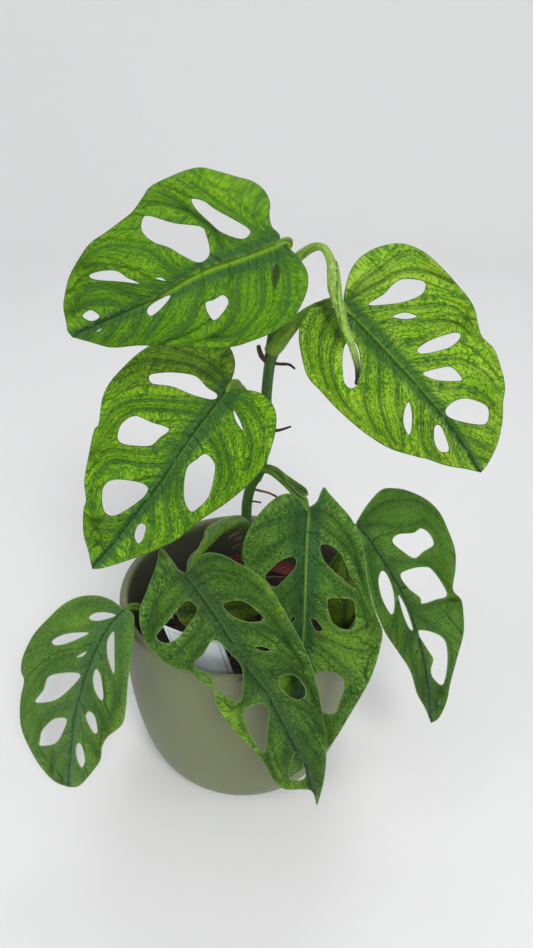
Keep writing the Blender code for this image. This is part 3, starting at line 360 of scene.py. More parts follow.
# Side veins, in pixels of the photograph, from the base to the tip: one side of the midrib, then the other
VEINS = dict(
    leaf_top=(
        [
            [(274, 240), (251.5, 226.5), (236.5, 213.5), (220, 202.5), (205, 191), (190, 181)],
            [(250, 249), (223.5, 235), (205, 223.5), (191.5, 211.5), (178, 200), (160, 191)],
            [(222, 247), (214, 231), (201.5, 218.5), (181.5, 208), (158, 202), (142, 203.5)],
            [(199, 275), (178, 271), (161.5, 260), (148.5, 250), (133, 246.5), (110, 245), (92, 251.5),
             (80, 263)],
            [(176, 284), (160, 284), (140, 284), (122, 280), (100, 264), (84, 267)],
            [(152, 300), (135, 295), (121.5, 290), (105, 285), (88, 288), (74, 300)],
            [(128, 311), (118, 304), (101, 301), (84, 305), (72, 312)],
        ], [
            [(279, 248), (286, 266), (289, 287), (285, 310), (271, 328)],
            [(262, 253), (261, 277), (262, 302), (252, 320), (235, 335), (214, 338)],
            [(239, 262), (237, 287), (235, 310), (226, 327), (207, 338)],
            [(201, 281), (198.5, 293), (193.5, 310), (188, 323), (178, 333), (165, 340)],
            [(171, 292), (162, 309), (155, 324), (146, 335)],
            [(142, 303), (138.5, 318), (131.5, 333), (121, 341)],
            [(119, 315), (114, 328), (103, 340)],
            [(94, 326), (90, 336), (82, 340)],
        ]),
    leaf_right=(
        [
            [(349, 297), (363, 280), (380, 268), (395, 256), (412, 250), (428, 259)],
            [(347, 302), (362, 291.5), (383, 280), (397, 272), (413, 269), (428, 271), (443, 277),
             (457, 285)],
            [(356, 311), (373, 308), (400, 306.5), (420, 305), (433, 303), (450, 305), (463, 312),
             (473, 325)],
            [(371, 331), (382, 322), (400, 320), (420, 321), (440, 319), (457, 322), (470, 332)],
            [(391, 354), (404, 343), (421, 339), (437, 332)],
            [(405, 362), (420, 361.5), (440, 359), (460, 358), (473, 363), (487, 373), (497, 386)],
            [(418, 381), (432, 385), (448, 387), (467, 388), (483, 393), (495, 405)],
            [(439, 415), (453, 421.5), (470, 424), (487, 427), (496, 432)],
            [(449, 430), (467, 436.5), (483, 445), (491, 449)],
            [(461, 446), (474, 455), (486, 460)],
        ], [
            [(333, 307), (315, 313), (308, 328), (306.5, 346), (312, 368)],
            [(340, 309), (329, 316), (323, 332), (320, 352), (323, 370), (329, 389)],
            [(341, 321), (336.5, 338), (331.5, 358), (335, 382), (345, 402), (361, 420)],
            [(360, 328), (368, 352), (366.5, 377), (365, 398), (370, 415), (379, 433)],
            [(377, 343), (380, 365), (380.5, 385), (381.5, 405), (389, 429), (397, 444)],
            [(393, 360), (398, 382), (398, 402), (401.5, 422), (404, 446)],
            [(416, 382), (421.5, 402), (421.5, 422), (423.5, 442), (431, 457)],
            [(435, 408), (432, 422), (433, 446), (440, 459)],
            [(450, 430), (456, 448), (463, 463)],
        ]),
    leaf_left=(
        [
            [(229, 386), (221, 373), (209, 362), (192, 354), (172, 347)],
            [(227, 391), (218, 383), (205, 373), (190, 364.5), (175, 362), (155, 361), (138, 362),
             (123, 369)],
            [(219, 403), (202, 402), (182, 400.5), (160, 399.5), (140, 399), (123, 403), (111.5, 410),
             (104, 422)],
            [(208, 416), (182, 411.5), (155, 409), (140, 409), (125, 415), (113, 427)],
            [(189, 442), (172, 441), (155, 450), (135, 451), (115, 449), (100, 452)],
            [(181, 455), (170, 464.5), (155, 464.5), (140, 464), (125, 461), (111.5, 461), (104, 467),
             (93.5, 479), (90, 493), (91.5, 508)],
            [(151, 503), (138, 515), (123, 518), (107, 519.5), (91.5, 520)],
            [(136, 515), (125, 528), (108, 530), (93, 528)],
            [(120, 536), (111, 543), (100, 543), (90, 540)],
        ], [
            [(233, 391), (248, 403), (260, 421), (264, 436), (262, 453)],
            [(225, 397), (238, 412), (248, 431), (251, 450), (247, 470)],
            [(213, 411), (221.5, 438), (228, 458), (230.5, 475), (225, 489)],
            [(199, 428), (210, 440), (218.5, 455), (220, 478), (213, 499)],
            [(181, 456), (180, 474), (177, 494), (183, 515), (190, 525)],
            [(168, 473), (168, 491), (166.5, 508), (170, 528), (167, 542)],
            [(150, 498), (152, 515), (151, 534), (147, 548)],
            [(129, 524), (133, 541), (129, 557)],
        ]),
    leaf_over_rim=(
        [
            [(119, 611), (104, 603), (86, 602), (66, 610)],
            [(113, 621), (98, 625), (80, 630), (60, 633), (44, 644)],
            [(100, 643), (86, 651.5), (69, 654.5), (55, 659), (42, 669), (33, 680)],
            [(92, 660), (80, 668), (62, 669), (47, 677), (37, 692)],
            [(80, 695), (69, 703), (55, 710), (43.5, 717), (36, 730), (36, 746), (45, 760)],
            [(73, 738), (62, 748), (52, 757), (50, 770)],
            [(72, 757), (64, 768), (61, 780)],
        ], [
            [(121, 615), (119.5, 637), (119, 658), (121, 682), (117, 704)],
            [(105, 632), (103.5, 648), (106, 668), (112, 682), (113, 700), (108, 720)],
            [(88, 672), (90, 688), (94, 703), (101, 716), (105, 729)],
            [(83, 688), (84, 703), (92, 709), (100, 722), (99, 736)],
            [(76, 716), (81, 732), (89, 742), (96, 753)],
            [(72, 748), (74, 766), (82, 776)],
        ]),
    leaf_front=(
        [
            [(184, 576), (173, 581), (161, 593), (152, 612), (146, 630)],
            [(190, 583), (180, 596), (168, 610), (156, 624), (151, 641)],
            [(203, 607), (200, 627), (187, 643), (174, 656), (163, 662)],
            [(222, 628), (207, 638), (196, 652), (187, 666)],
            [(234, 645), (245, 664), (246, 683), (242, 702), (231, 709), (224, 700)],
            [(250, 672), (253.5, 690), (247, 704), (240, 715), (244, 731), (254, 746)],
            [(268, 695), (271, 711), (270, 728), (267, 748), (270, 770), (279, 783)],
            [(285, 727), (287, 744), (286, 760), (288, 782)],
            [(300, 756), (303, 763), (308, 777), (306, 788)],
        ], [
            [(189, 571), (203, 562), (220, 557.5), (238, 565)],
            [(193, 580), (210, 571), (236, 575), (259, 590), (275, 608)],
            [(206, 601), (220, 595.5), (242, 597), (262, 607), (279, 628), (290, 645)],
            [(219, 622), (240, 626.5), (263, 629), (280, 638.5), (293, 653), (304, 668)],
            [(236, 646), (253, 653.5), (273, 657), (290, 667), (306, 683.5), (315, 701)],
            [(246, 664), (263, 672.5), (280, 672), (297, 673), (311, 690), (319, 714)],
            [(266, 690), (280, 701), (296, 707), (310, 716), (320, 733)],
            [(280, 716), (297, 731), (311, 748), (320, 762)],
            [(298, 752), (310, 766), (317, 782)],
        ]),
    leaf_centre=(
        [
            [(308, 509), (297, 515.5), (281.5, 518.5), (263, 525), (250, 534)],
            [(306.5, 529), (294, 535.5), (275, 545), (260, 556), (252, 566)],
            [(305, 553), (297, 567), (286, 579), (274, 590), (268, 602)],
            [(304.5, 573), (297, 584), (286, 596), (277, 606)],
            [(304, 594), (297, 606), (289, 619), (280, 634)],
            [(303, 618), (298, 635), (289, 652), (280, 668)],
            [(300, 655), (296, 672), (287, 690), (279, 703)],
            [(294, 700), (290, 722), (284, 740)],
        ], [
            [(311, 509), (328, 514), (343, 529), (355, 549), (362, 572)],
            [(309, 512), (321, 526), (334, 536), (346.5, 549), (357, 566), (366, 592)],
            [(307, 554), (316, 567), (331, 579), (343.5, 589), (356, 598), (364, 612), (369, 628)],
            [(306, 588), (309.5, 604), (322, 616), (334, 629), (350, 634), (365, 628)],
            [(304.5, 615), (313, 634), (329, 641), (344, 648), (362, 652), (371, 650)],
            [(303, 636), (312.5, 645), (325, 652), (337, 662), (348, 674), (350, 687), (343, 703),
             (337, 720)],
            [(301, 660), (309, 668), (315, 686), (318, 708), (325, 726)],
            [(297, 700), (305, 722), (313, 745)],
        ]),
    leaf_outer=(
        [
            [(359, 523), (370, 513), (387, 503), (407, 500), (422, 503), (437, 514)],
            [(364, 527), (382, 524), (399, 528), (413, 525), (426, 522), (437, 533), (443, 546)],
            [(385, 560), (402, 562), (416, 562), (426, 563), (437, 571), (446, 584), (451, 592)],
            [(407, 598), (418, 607), (431, 606), (445, 602), (457, 600)],
            [(411, 612), (425, 622), (439, 630), (450, 644), (452, 663), (446, 685)],
            [(424, 653), (427, 668), (436, 684), (442, 692)],
            [(429, 690), (434, 700), (438, 710)],
        ], [
            [(368, 536), (370.5, 556), (373.5, 580), (378, 601)],
            [(388, 566), (396, 588), (397.5, 609), (394, 629)],
            [(407, 600), (409.5, 622), (407, 642), (403, 655)],
            [(416, 628), (412, 648), (416, 672), (418, 690)],
            [(425, 662), (424, 685), (426, 704)],
        ]),
)

# The sheaths of three petioles, traced like leaves: a bright flap beside the centre leaf's, and the
# winged ones of the leaf over the rim and of the outer leaf, mostly hidden behind other leaves
CENTRE_SHEATH = dict(
    base=(277, 471), tip=(308.5, 494), midrib=[(288, 479), (298, 487)],
    side_one=[(283, 472.5), (296, 481), (306, 488)],
    side_two=[(283, 479), (293, 489), (303, 497)],
    holes=[])
RIM_SHEATH = dict(
    base=(268, 606), tip=(176.5, 612), midrib=[(240, 607), (205, 611)],
    side_one=[(255, 600), (230, 593), (200, 594), (182, 603)],
    side_two=[(256, 616), (245, 620), (222, 628), (200, 632), (187, 627), (179, 619.5)],
    holes=[])
OUTER_SHEATH = dict(
    base=(346, 546), tip=(343, 634), midrib=[(347, 575), (345, 605)],
    side_one=[(338, 556), (336, 575), (330, 597), (328, 615), (334, 629)],
    side_two=[(352, 560), (356, 580), (359, 600), (358, 616), (351, 630)],
    holes=[])
SHEATHS = dict(
    leaf_outer=dict(trace=OUTER_SHEATH, base_y=-8, tip_y=-16, face=(-0.4, -0.70, 0.55), arch=2, fold=0.25),
    leaf_centre=dict(trace=CENTRE_SHEATH, base_y=-1, tip_y=-19, face=(0.2, -0.80, 0.60), arch=1.5, fold=0),
    leaf_over_rim=dict(trace=RIM_SHEATH, base_y=4, tip_y=-24, face=(0.0, -0.80, 0.60), arch=3, fold=0),
)

# Stalks: how they are divided and how strongly their channel keeps facing one way. The midrib lies
# under the blade and thins out from the petiole's end on
STALK_STEPS = 6
STALK_SIDES = 24
FACE_PULL = 0.15
SKIN_TURN = 3
RIB_STEP = 6 * MM
RIB_SINK = 0.65 * MM
RIB_START = 0.85
RIB_END_RADIUS = 0.4 * MM

# Petioles that open into a sheath: how deep the channel is, the way it looks, and its cross-section
CHANNELS = dict(
    leaf_top=0.85, leaf_right=0.45, leaf_over_rim=0.8, leaf_front=1.0, leaf_centre=0.9, leaf_outer=0.7)
CHANNEL_DEPTH = 0.25
CHANNEL_FACE = Vector((0.1, -0.55, 0.85))
CHANNEL_FACES = dict(leaf_front=Vector((-0.32, -0.62, 0.66)))
CHANNEL_START = 1.3
CHANNEL_HALF_WIDTH = 0.55
CHANNEL_CUT = 0.8
WING_TURN = 4 * math.tau / STALK_SIDES
WING_WIDTH = 0.16
WING_HEIGHT = 0.5
WING_TEARS = 0.7
TEAR_SEED = (40, 3)
TEARS_PER_KNOT = 2.3

# The rolled leaf: its girth, its twist from knot to knot and the step of its outer margin
ROLL_GIRTH = 1.2
ROLL_FACE = Vector((0.7, -0.7, 0.1))
ROLL_TWIST = 0.3
ROLL_REACH = 0.84
LIP_HEIGHT = 0.30
LIP_TEARS = 0.9
LIP_CURVE = 1.5
SEAM_WIDTH = 0.3

# Roots: of all of them the first few are dark, and all are lumpy
DARK_ROOTS = 3
ROOT_LUMPS = 0.22
LUMPS_PER_KNOT = 3
LUMP_SEED = 7

# The stem: the side it faces, and its rings by the knot they sit on
STEM_FACE = Vector((0, -1, 0.2))
STEM_RINGS = (4, 8, 11, 16)
RING_LENGTH = 0.45 * MM
RING_HEIGHT = 0.35 * MM

# Turned pieces: how they are divided, how near two corners are one, and where an edge is sharp
TURN_STEPS = 160
SAME_PLACE = 0.001 * MM
CREASE_ANGLE = math.radians(40)

# The cover pot, as in the solid model
POT_RADIUS = 75 * MM
POT_HEIGHT = 130 * MM
POT_BASE_RADIUS = 40 * MM
POT_WALL = 5 * MM
POT_FLOOR = 6 * MM
POT_INNER_SHRINK = 4 * MM
POT_BELLY = 2.94
POT_RINGS = 40
POT_RIM_STEPS = 14

# The nursery pot's walls, as in the solid model. Its collar has ribs on the inside: the first one's
# height over the shoulder and their spacing are in millimetres, and their reach is in walls
LINER_RADIUS = 59 * MM
LINER_TOP = 106 * MM
LINER_COLLAR = 10 * MM
LINER_STEP = 2.2 * MM
LINER_BASE_RADIUS = 40 * MM
LINER_WALL = 1 * MM
LINER_FOOT = POT_FLOOR + 0.3 * MM
LINER_CHAMFER = 2 * MM
LINER_RIM_STEPS = 6
LINER_RIBS = 3
LINER_RIB_START = 2
LINER_RIB_SPACING = 2.4
LINER_RIB_HALF = 0.7 * MM
LINER_RIB_REACH = 1.6

# Soil: the height of its top, the lumps on it, and the block below by shares of radius and height
SOIL_TOP = 97 * MM
SOIL_LUMPS = 1.6 * MM
SOIL_LUMP_LENGTH = 7 * MM
SOIL_SEED = 0.3
SOIL_RINGS = 40
SOIL_WAIST = (0.8, 0.5)
SOIL_BASE = 0.64
SOIL_EDGE = 1.5 * MM

# Bark and grains on the soil. Sizes and lifts are in millimetres, and tilts, leans and nudges go to
# either side
BARK_SEED = 11
BARK_PIECES = 520
BARK_INSET = 3 * MM
BARK_REACH = 0.97
CHIP_SPANS = ((3, 9), (2, 5), (0.8, 2.2))
CHIP_ROUNDNESS = 0.4
CHIP_LIFT = 0.9
CHIP_TILT = 0.45
CHIP_LEAN = 0.35
CHIP_NUDGE = 0.1
CHIP_TONES = 1.6
PALE_GRAIN_EVERY = 23
GRAIN_SPAN = (1.2, 2.4)
GRAIN_ROUNDNESS = 0.9
GRAIN_TONE = 2.0

# Rootlets on the bark
ROOTLET_SEED = 5
ROOTLETS = 7
ROOTLET_INSET = 6 * MM
ROOTLET_SPREAD = (0.2, 0.8)
ROOTLET_KNOTS = 6
ROOTLET_STEP = 4 * MM
ROOTLET_HEIGHT = 1.4 * MM
ROOTLET_RADIUS = 0.45 * MM
ROOTLET_THINNING = 9
ROOTLET_WANDER = 0.35
ROOTLET_STEPS = 3

# The label: a bowed card, by one upper corner and the directions of its sides. Its border line is
# measured in millimetres
TAG_WIDTH = 34 * MM
TAG_HEIGHT = 74 * MM
TAG_THICKNESS = 0.8 * MM
TAG_BOW = 1.5 * MM
TAG_CORNER = Vector((-41, -54, 147)) * MM
TAG_ACROSS = Vector((0.935, -0.351, 0.058))
TAG_DOWN = Vector((0.148, 0.237, -0.960))
TAG_BORDER = 2.2
TAG_LINE = 0.16
TAG_SPLITS = (32, 24)
TAG_CREASE = math.radians(50)

# Leaf colours, linear. Between the veins: dark, middle, bright, and pale flecks, partly the leaf's own
# and partly painted glints; over the veins: deep and zone_light; then the lines of the veins, the midrib,
# the margin and the underside
YOUNG = dict(
    dark=(0.044, 0.150, 0.004), middle=(0.107, 0.290, 0.004), bright=(0.230, 0.445, 0.002),
    fleck_and_painted_glint=(0.360, 0.520, 0.070), deep=(0.030, 0.105, 0.018), zone_light=(0.070, 0.190, 0.020),
    line=(0.028, 0.095, 0.014), rib=(0.120, 0.260, 0.010), margin=(0.045, 0.140, 0.010),
    under=(0.100, 0.220, 0.050), zone=13.0, lift=-0.8, flecks_and_painted_glints=0.9, rib_width=1.2, gloss=0.18, threads=0.6,
    groove=0.55, grain=1.1, contrast=0.9)
OLD = dict(
    dark=(0.015, 0.055, 0.006), middle=(0.043, 0.125, 0.010), bright=(0.085, 0.210, 0.016),
    fleck_and_painted_glint=(0.200, 0.350, 0.090), deep=(0.020, 0.072, 0.016), zone_light=(0.046, 0.135, 0.032),
    line=(0.018, 0.056, 0.012), rib=(0.060, 0.140, 0.022), margin=(0.170, 0.300, 0.080),
    under=(0.085, 0.180, 0.050), zone=11.0, lift=-0.88, flecks_and_painted_glints=1.0, rib_width=0.9, gloss=0.2, threads=0.25,
    groove=0.35, grain=1.4, contrast=1.0)
PALE_EDGE = (0.250, 0.360, 0.130)
SHEATH_LOOK = dict(
    OLD, middle=(0.110, 0.190, 0.012), bright=(0.170, 0.260, 0.014), margin=PALE_EDGE, flecks_and_painted_glints=0.2,
    zone=1.0, lift=-0.6)
MIDDLE_TONE = 0.45

# What each leaf's look changes from those
LOOKS = dict(
    leaf_top=dict(
        YOUNG, middle=(0.098, 0.262, 0.004), bright=(0.205, 0.405, 0.002), rib=(0.165, 0.345, 0.012),
        line=(0.045, 0.130, 0.020), contrast=0.52, lift=-1.0, rib_width=2.6),
    leaf_right=dict(YOUNG, lift=-0.64, bright=(0.255, 0.490, 0.002)),
    leaf_left=dict(
        YOUNG, line=(0.036, 0.115, 0.020), rib=(0.075, 0.200, 0.024), contrast=0.8, lift=-0.87,
        rib_width=0.9),
    leaf_over_rim=dict(
        OLD, middle=(0.070, 0.180, 0.020), bright=(0.120, 0.255, 0.026), deep=(0.050, 0.138, 0.036),
        zone_light=(0.090, 0.205, 0.055), flecks_and_painted_glints=0.4, contrast=0.5, lift=-0.72, zone=13.0,
        line=(0.038, 0.105, 0.024), groove=0.25),
    leaf_front=dict(OLD, lift=-0.76, contrast=0.78, flecks_and_painted_glints=0.7, threads=0.15, deep=(0.028, 0.072, 0.014)),
    leaf_centre=dict(
        OLD, rib=(0.140, 0.280, 0.045), flecks_and_painted_glints=0.65, contrast=0.75, lift=-0.66, rib_width=1.4, zone=15.0),
    leaf_outer=dict(
        OLD, middle=(0.055, 0.150, 0.010), deep=(0.032, 0.095, 0.018), flecks_and_painted_glints=0.3, zone=4.0, contrast=0.6,
        lift=-0.66),
)

# Yellower patches of the leaves, partly their own colour and partly painted light where they lie in shade:
# where each is in the photograph, its radius in mm and its strength
YELLOW_AND_PAINTED_LIGHT_PATCHES = dict(
    leaf_left=(((172, 366), 22, 0.6), ((215, 372), 10, 0.5), ((150, 395), 10, 0.3)),
    leaf_top=(((225, 180), 16, 0.35), ((120, 245), 14, 0.2)),
    leaf_front=(((228, 715), 12, 0.8), ((247, 742), 7, 0.8), ((282, 788), 12, 0.8), ((165, 590), 9, 0.15),
                ((262, 577), 4, 0.7), ((270, 591), 4, 0.8), ((279, 606), 4, 0.7)),
    leaf_centre=(((345, 640), 16, 0.6), ((330, 520), 8, 0.3), ((290, 685), 9, 1.0), ((300, 705), 12, 0.6)),
    leaf_outer=(((448, 585), 9, 0.4), ((432, 660), 10, 0.3)),
    leaf_over_rim=(((75, 625), 9, 0.3), ((105, 745), 12, 0.35)),
)

# Colours of all else, linear
STEM_COLOURS = ((0.019, 0.066, 0.017), (0.048, 0.128, 0.016))
YOUNG_STALK_COLOURS = ((0.058, 0.145, 0.010), (0.155, 0.290, 0.018))
STALK_COLOURS = ((0.038, 0.105, 0.008), (0.100, 0.210, 0.014))
# Painted shade inside the petioles' open channel
CHANNEL_PAINTED_SHADE = (0.020, 0.060, 0.008)
RING_BROWN = (0.090, 0.050, 0.016)
NEW_COLOURS = ((0.130, 0.270, 0.030), (0.310, 0.470, 0.080))
TIP_BROWN = (0.040, 0.034, 0.014)
ROOT_COLOURS = ((0.020, 0.010, 0.005), (0.085, 0.052, 0.024))
DRY_ROOT_COLOURS = ((0.065, 0.032, 0.014), (0.170, 0.105, 0.045))
POT_OLIVE = (0.138, 0.156, 0.070)
# POT_SHADE is painted shade: the darker colour of the cover pot's inside below the rim
POT_SHADE = (0.085, 0.090, 0.060)
LINER_RED = (0.200, 0.020, 0.014)
BARK_COLOURS = ((0.012, 0.007, 0.005), (0.075, 0.040, 0.022))
SOIL_BROWN = (0.010, 0.006, 0.004)
PERLITE = (0.600, 0.580, 0.520)
LABEL_WHITE = (0.800, 0.860, 0.880)
LABEL_LINE = (0.030, 0.034, 0.045)

# How high the fine grain of each surface stands, and how far below the rim the painted shade on the cover
# pot's inside begins and is full
GRAIN_HEIGHTS = dict(
    leaf=0.55 * MM, stalk=0.2 * MM, new_leaf=0.25 * MM, root=0.3 * MM, glaze=0.04 * MM,
    plastic=0.15 * MM, soil=0.8 * MM, bark=0.5 * MM)
POT_SHADE_START = 3 * MM
POT_SHADE_END = 7 * MM

# Studio, in metres and watts. The floor is flat as far as FLOOR_FLAT, then curves up
FLOOR_FLAT = 1.3
FLOOR_CURVE = 0.9
FLOOR_HEIGHT = 2.6
FLOOR_CURVE_STEPS = 16
FLOOR_STEPS = 96
FLOOR_PALE = (0.800, 0.800, 0.800)
AIR_COLOUR = (0.95, 0.97, 1.0, 1)
AIR_STRENGTH = 0.35
LIGHT_AIM = Vector((0, 0, 0.2))
LIGHTS = dict(
    key=dict(place=(0.5, -1.5, 1.75), size=0.7, power=29),
    fill=dict(place=(-1.4, -0.9, 1.5), size=0.8, power=6),
    back=dict(place=(0.2, 1.3, 2.0), size=1.0, power=9),
)
CLOSEST_SEEN = 0.01


# Lines of sight

def camera_axes():
    """The viewer's right, up and forward directions."""
    forward = Vector((0, math.cos(EYE_PITCH), -math.sin(EYE_PITCH)))
    level = Vector((1, 0, 0))
    upright = level.cross(forward)
    right = level * math.cos(EYE_LEAN) + upright * math.sin(EYE_LEAN)
    up = upright * math.cos(EYE_LEAN) - level * math.sin(EYE_LEAN)
    return right, up, forward


def line_of_sight(pixel):
    """The direction in which the viewer sees a pixel of the photograph."""
    right, up, forward = camera_axes()
    across = (pixel[0] - PHOTO_SIZE[0] / 2) / LENS_PIXELS
    down = (pixel[1] - PHOTO_SIZE[1] / 2) / LENS_PIXELS
    return forward + right * across - up * down


def on_sight(pixel, y):
    """The point seen at a pixel that is y behind the pot's axis."""
    ray = line_of_sight(pixel)
    return EYE + ray * ((y - EYE.y) / ray.y)


def spline(points, steps, closed=False):
    """A smooth curve through the points, with steps[i] pieces from point i to the next."""
    count = len(points)
    curve = []
    for i in range(count if closed else count - 1):
        start = points[i]
        end = points[(i + 1) % count]
        before = points[i - 1] if closed or i > 0 else start * 2 - end
        after = points[(i + 2) % count] if closed or i + 2 < count else end * 2 - start
        for k in range(steps[i]):
            u = k / steps[i]
            curve.append(0.5 * (
                start * 2 + (end - before) * u
                + (before * 2 - start * 5 + end * 4 - after) * u ** 2
                + (start * 3 - before - end * 3 + after) * u ** 3))
    if not closed:
        curve.append(points[-1].copy())
    return curve


def even_spline(points, step, closed=False):
    """A smooth curve through the points in pieces of about one length."""
    ends = points[1:] + points[:1] if closed else points[1:]
    steps = [max(1, round((b - a).length / step)) for a, b in zip(points, ends)]
    return spline(points, steps, closed)


# Numbers on flat points, as arrays of (s, t)

def within(points, loop):
    """Which points lie inside a closed loop."""
    x = points[:, 0, None]
    y = points[:, 1, None]
    ends = np.roll(loop, -1, 0)
    crosses = (loop[:, 1] > y) != (ends[:, 1] > y)
    rise = np.where(ends[:, 1] == loop[:, 1], 1, ends[:, 1] - loop[:, 1])
    reach = loop[:, 0] + (y - loop[:, 1]) * (ends[:, 0] - loop[:, 0]) / rise
    return (crosses & (x < reach)).sum(1) % 2 == 1


def gap_to_line(points, line):
    """How far each point is from a line of points, and how far along the line its nearest spot is."""
    start = line[:-1]
    run = line[1:] - start
    length = np.maximum(np.hypot(run[:, 0], run[:, 1]), TINY)
    offset = points[:, None, :] - start
    share = np.clip((offset * run).sum(2) / length ** 2, 0, 1)
    apart = offset - share[:, :, None] * run
    gaps = np.hypot(apart[:, :, 0], apart[:, :, 1])
    nearest = gaps.argmin(1)
    row = np.arange(len(points))
    along = np.concatenate([[0], np.cumsum(length)[:-1]])
    return gaps[row, nearest], along[nearest] + share[row, nearest] * length[nearest]


class Blade:
    """A leaf blade's surface: s runs from base to tip, t runs across, h rises towards the face."""

    def __init__(self, trace, base_y, tip_y, face, arch, fold):
        self.trace = trace
        self.base = on_sight(trace["base"], base_y * MM)
        self.tip = on_sight(trace["tip"], tip_y * MM)
        self.length = (self.tip - self.base).length
        self.s_axis = (self.tip - self.base).normalized()
        lean = Vector(face)
        self.h_axis = (lean - self.s_axis * lean.dot(self.s_axis)).normalized()
        self.t_axis = self.h_axis.cross(self.s_axis)
        self.arch = arch * MM
        self.fold = fold

    def height(self, s, t):
        along = s / self.length
        arch = self.arch * 4 * along * (1 - along)
        fold = self.fold * (np.hypot(t, FOLD_SOFTNESS) - FOLD_SOFTNESS)
        turn = math.tau * s / RIPPLE_LENGTH + RIPPLE_SHIFT * (t > 0)
        return arch - fold + RIPPLE_HEIGHT * (t / BLADE_HALF_WIDTH) ** 2 * np.sin(turn)

    def points(self, s, t, off):
        """Points of the surface, raised by off, for arrays of s and t."""
        h = self.height(s, t) + off
        sides = [np.array(axis) for axis in (self.s_axis, self.t_axis, self.h_axis)]
        return np.array(self.base) + np.outer(s, sides[0]) + np.outer(t, sides[1]) + np.outer(h, sides[2])

    def point(self, s, t, off=0.0):
        return Vector(self.points(np.array([s]), np.array([t]), off)[0])

    def lay(self, pixel):
        """Where the line of sight through a pixel meets the surface, as (s, t)."""
        ray = line_of_sight(pixel)
        start = EYE - self.base
        h = 0.0
        for _ in range(LAY_ROUNDS):
            hit = start + ray * ((h - start.dot(self.h_axis)) / ray.dot(self.h_axis))
            s = hit.dot(self.s_axis)
            t = hit.dot(self.t_axis)
            h = (h + float(self.height(s, t))) / 2
        return Vector((s, t))

    def laid(self, pixels):
        return [self.lay(pixel) for pixel in pixels]

    def margin(self):
        ends = [Vector((0, 0)), Vector((self.length, 0))]
        there = even_spline(ends[:1] + self.laid(self.trace["side_one"]) + ends[1:], EDGE_STEP)
        back = even_spline(ends[:1] + self.laid(self.trace["side_two"]) + ends[1:], EDGE_STEP)[::-1]
        return np.array(there[:-1] + back[:-1])

    def holes(self):
        return [np.array(even_spline(self.laid(hole), EDGE_STEP, True)) for hole in self.trace["holes"]]

    def midrib(self):
        return [Vector((0, 0))] + self.laid(self.trace["midrib"]) + [Vector((self.length, 0))]


# Blades

def bead_points(loop):
    """Points a bead's width to both sides of a loop, which round the blade's edge off."""
    run = np.roll(loop, -1, 0) - np.roll(loop, 1, 0)
    side = np.stack([-run[:, 1], run[:, 0]], 1)
    side *= BEAD_WIDTH / np.maximum(np.hypot(side[:, 0], side[:, 1]), TINY)[:, None]
    return np.concatenate([loop + side, loop - side])


def grid_points(margin):
    """A grid of even triangles' corners over the whole of the margin."""
    low = margin.min(0)
    high = margin.max(0)
    rows = np.arange(low[0], high[0], INNER_STEP * math.sqrt(3) / 2)
    columns = np.arange(low[1], high[1], INNER_STEP)
    s, t = np.meshgrid(rows, columns, indexing="ij")
    t = t + (np.arange(len(rows)) % 2)[:, None] * INNER_STEP / 2
    return np.stack([s.ravel(), t.ravel()], 1)


def inner_points(margin, holes, lines):
    """A blade's bead, vein and grid points, with room between them and clear of its holes."""
    fence = np.concatenate([margin] + holes)
    beads = np.concatenate([bead_points(loop) for loop in [margin] + holes])
    kept = []
    taken = fence
    for spots, room in ((beads, BEAD_ROOM), (lines, VEIN_ROOM), (grid_points(margin), GRID_ROOM)):
        spots = spots[within(spots, margin)]
        for hole in holes:
            spots = spots[~within(spots, hole)]
        gaps = np.concatenate([
            np.hypot(*(part[:, None, :] - taken).transpose(2, 0, 1)).min(1)
            for part in np.array_split(spots, 1 + len(spots) // POINTS_AT_A_TIME)])
        kept.append(spots[gaps > room])
        if spots is not beads:
            taken = np.concatenate([taken, kept[-1]])
    return np.concatenate([fence] + kept)


def flat_triangles(margin, holes, lines):
    """A blade's flat mesh: its margin, its holes, a bead inside each, its veins and a grid between them."""
    edges = []
    for loop in [margin] + holes:
        first = len(edges)
        edges += [(first + i, first + (i + 1) % len(loop)) for i in range(len(loop))]
    spots = [Vector(spot) for spot in inner_points(margin, holes, lines)]
    flat = geometry.delaunay_2d_cdt(spots, edges, [], 1, SAME_POINT)
    corners = np.array(flat[0])
    faces = np.array(flat[2])
    centres = corners[faces].mean(1)
    for hole in holes:
        inside_hole = within(centres, hole)
        faces = faces[~inside_hole]
        centres = centres[~inside_hole]
    used, faces = np.unique(faces, return_inverse=True)
    faces = faces.reshape(-1, 3)
    corners = corners[used]
    a, b, c = (corners[faces[:, i]] for i in range(3))
    turned_over = (b[:, 0] - a[:, 0]) * (c[:, 1] - a[:, 1]) < (b[:, 1] - a[:, 1]) * (c[:, 0] - a[:, 0])
    faces[turned_over] = faces[turned_over][:, ::-1]
    return corners, faces


def vein_curves(blade, veins):
    """The side veins' curves: the list on the side where t is positive, then the other."""
    sides = [[np.array(even_spline(blade.laid(line), INNER_STEP)) for line in lines] for lines in veins]
    if sides[0] and sides[0][2][-1, 1] < 0:
        sides.reverse()
    return sides


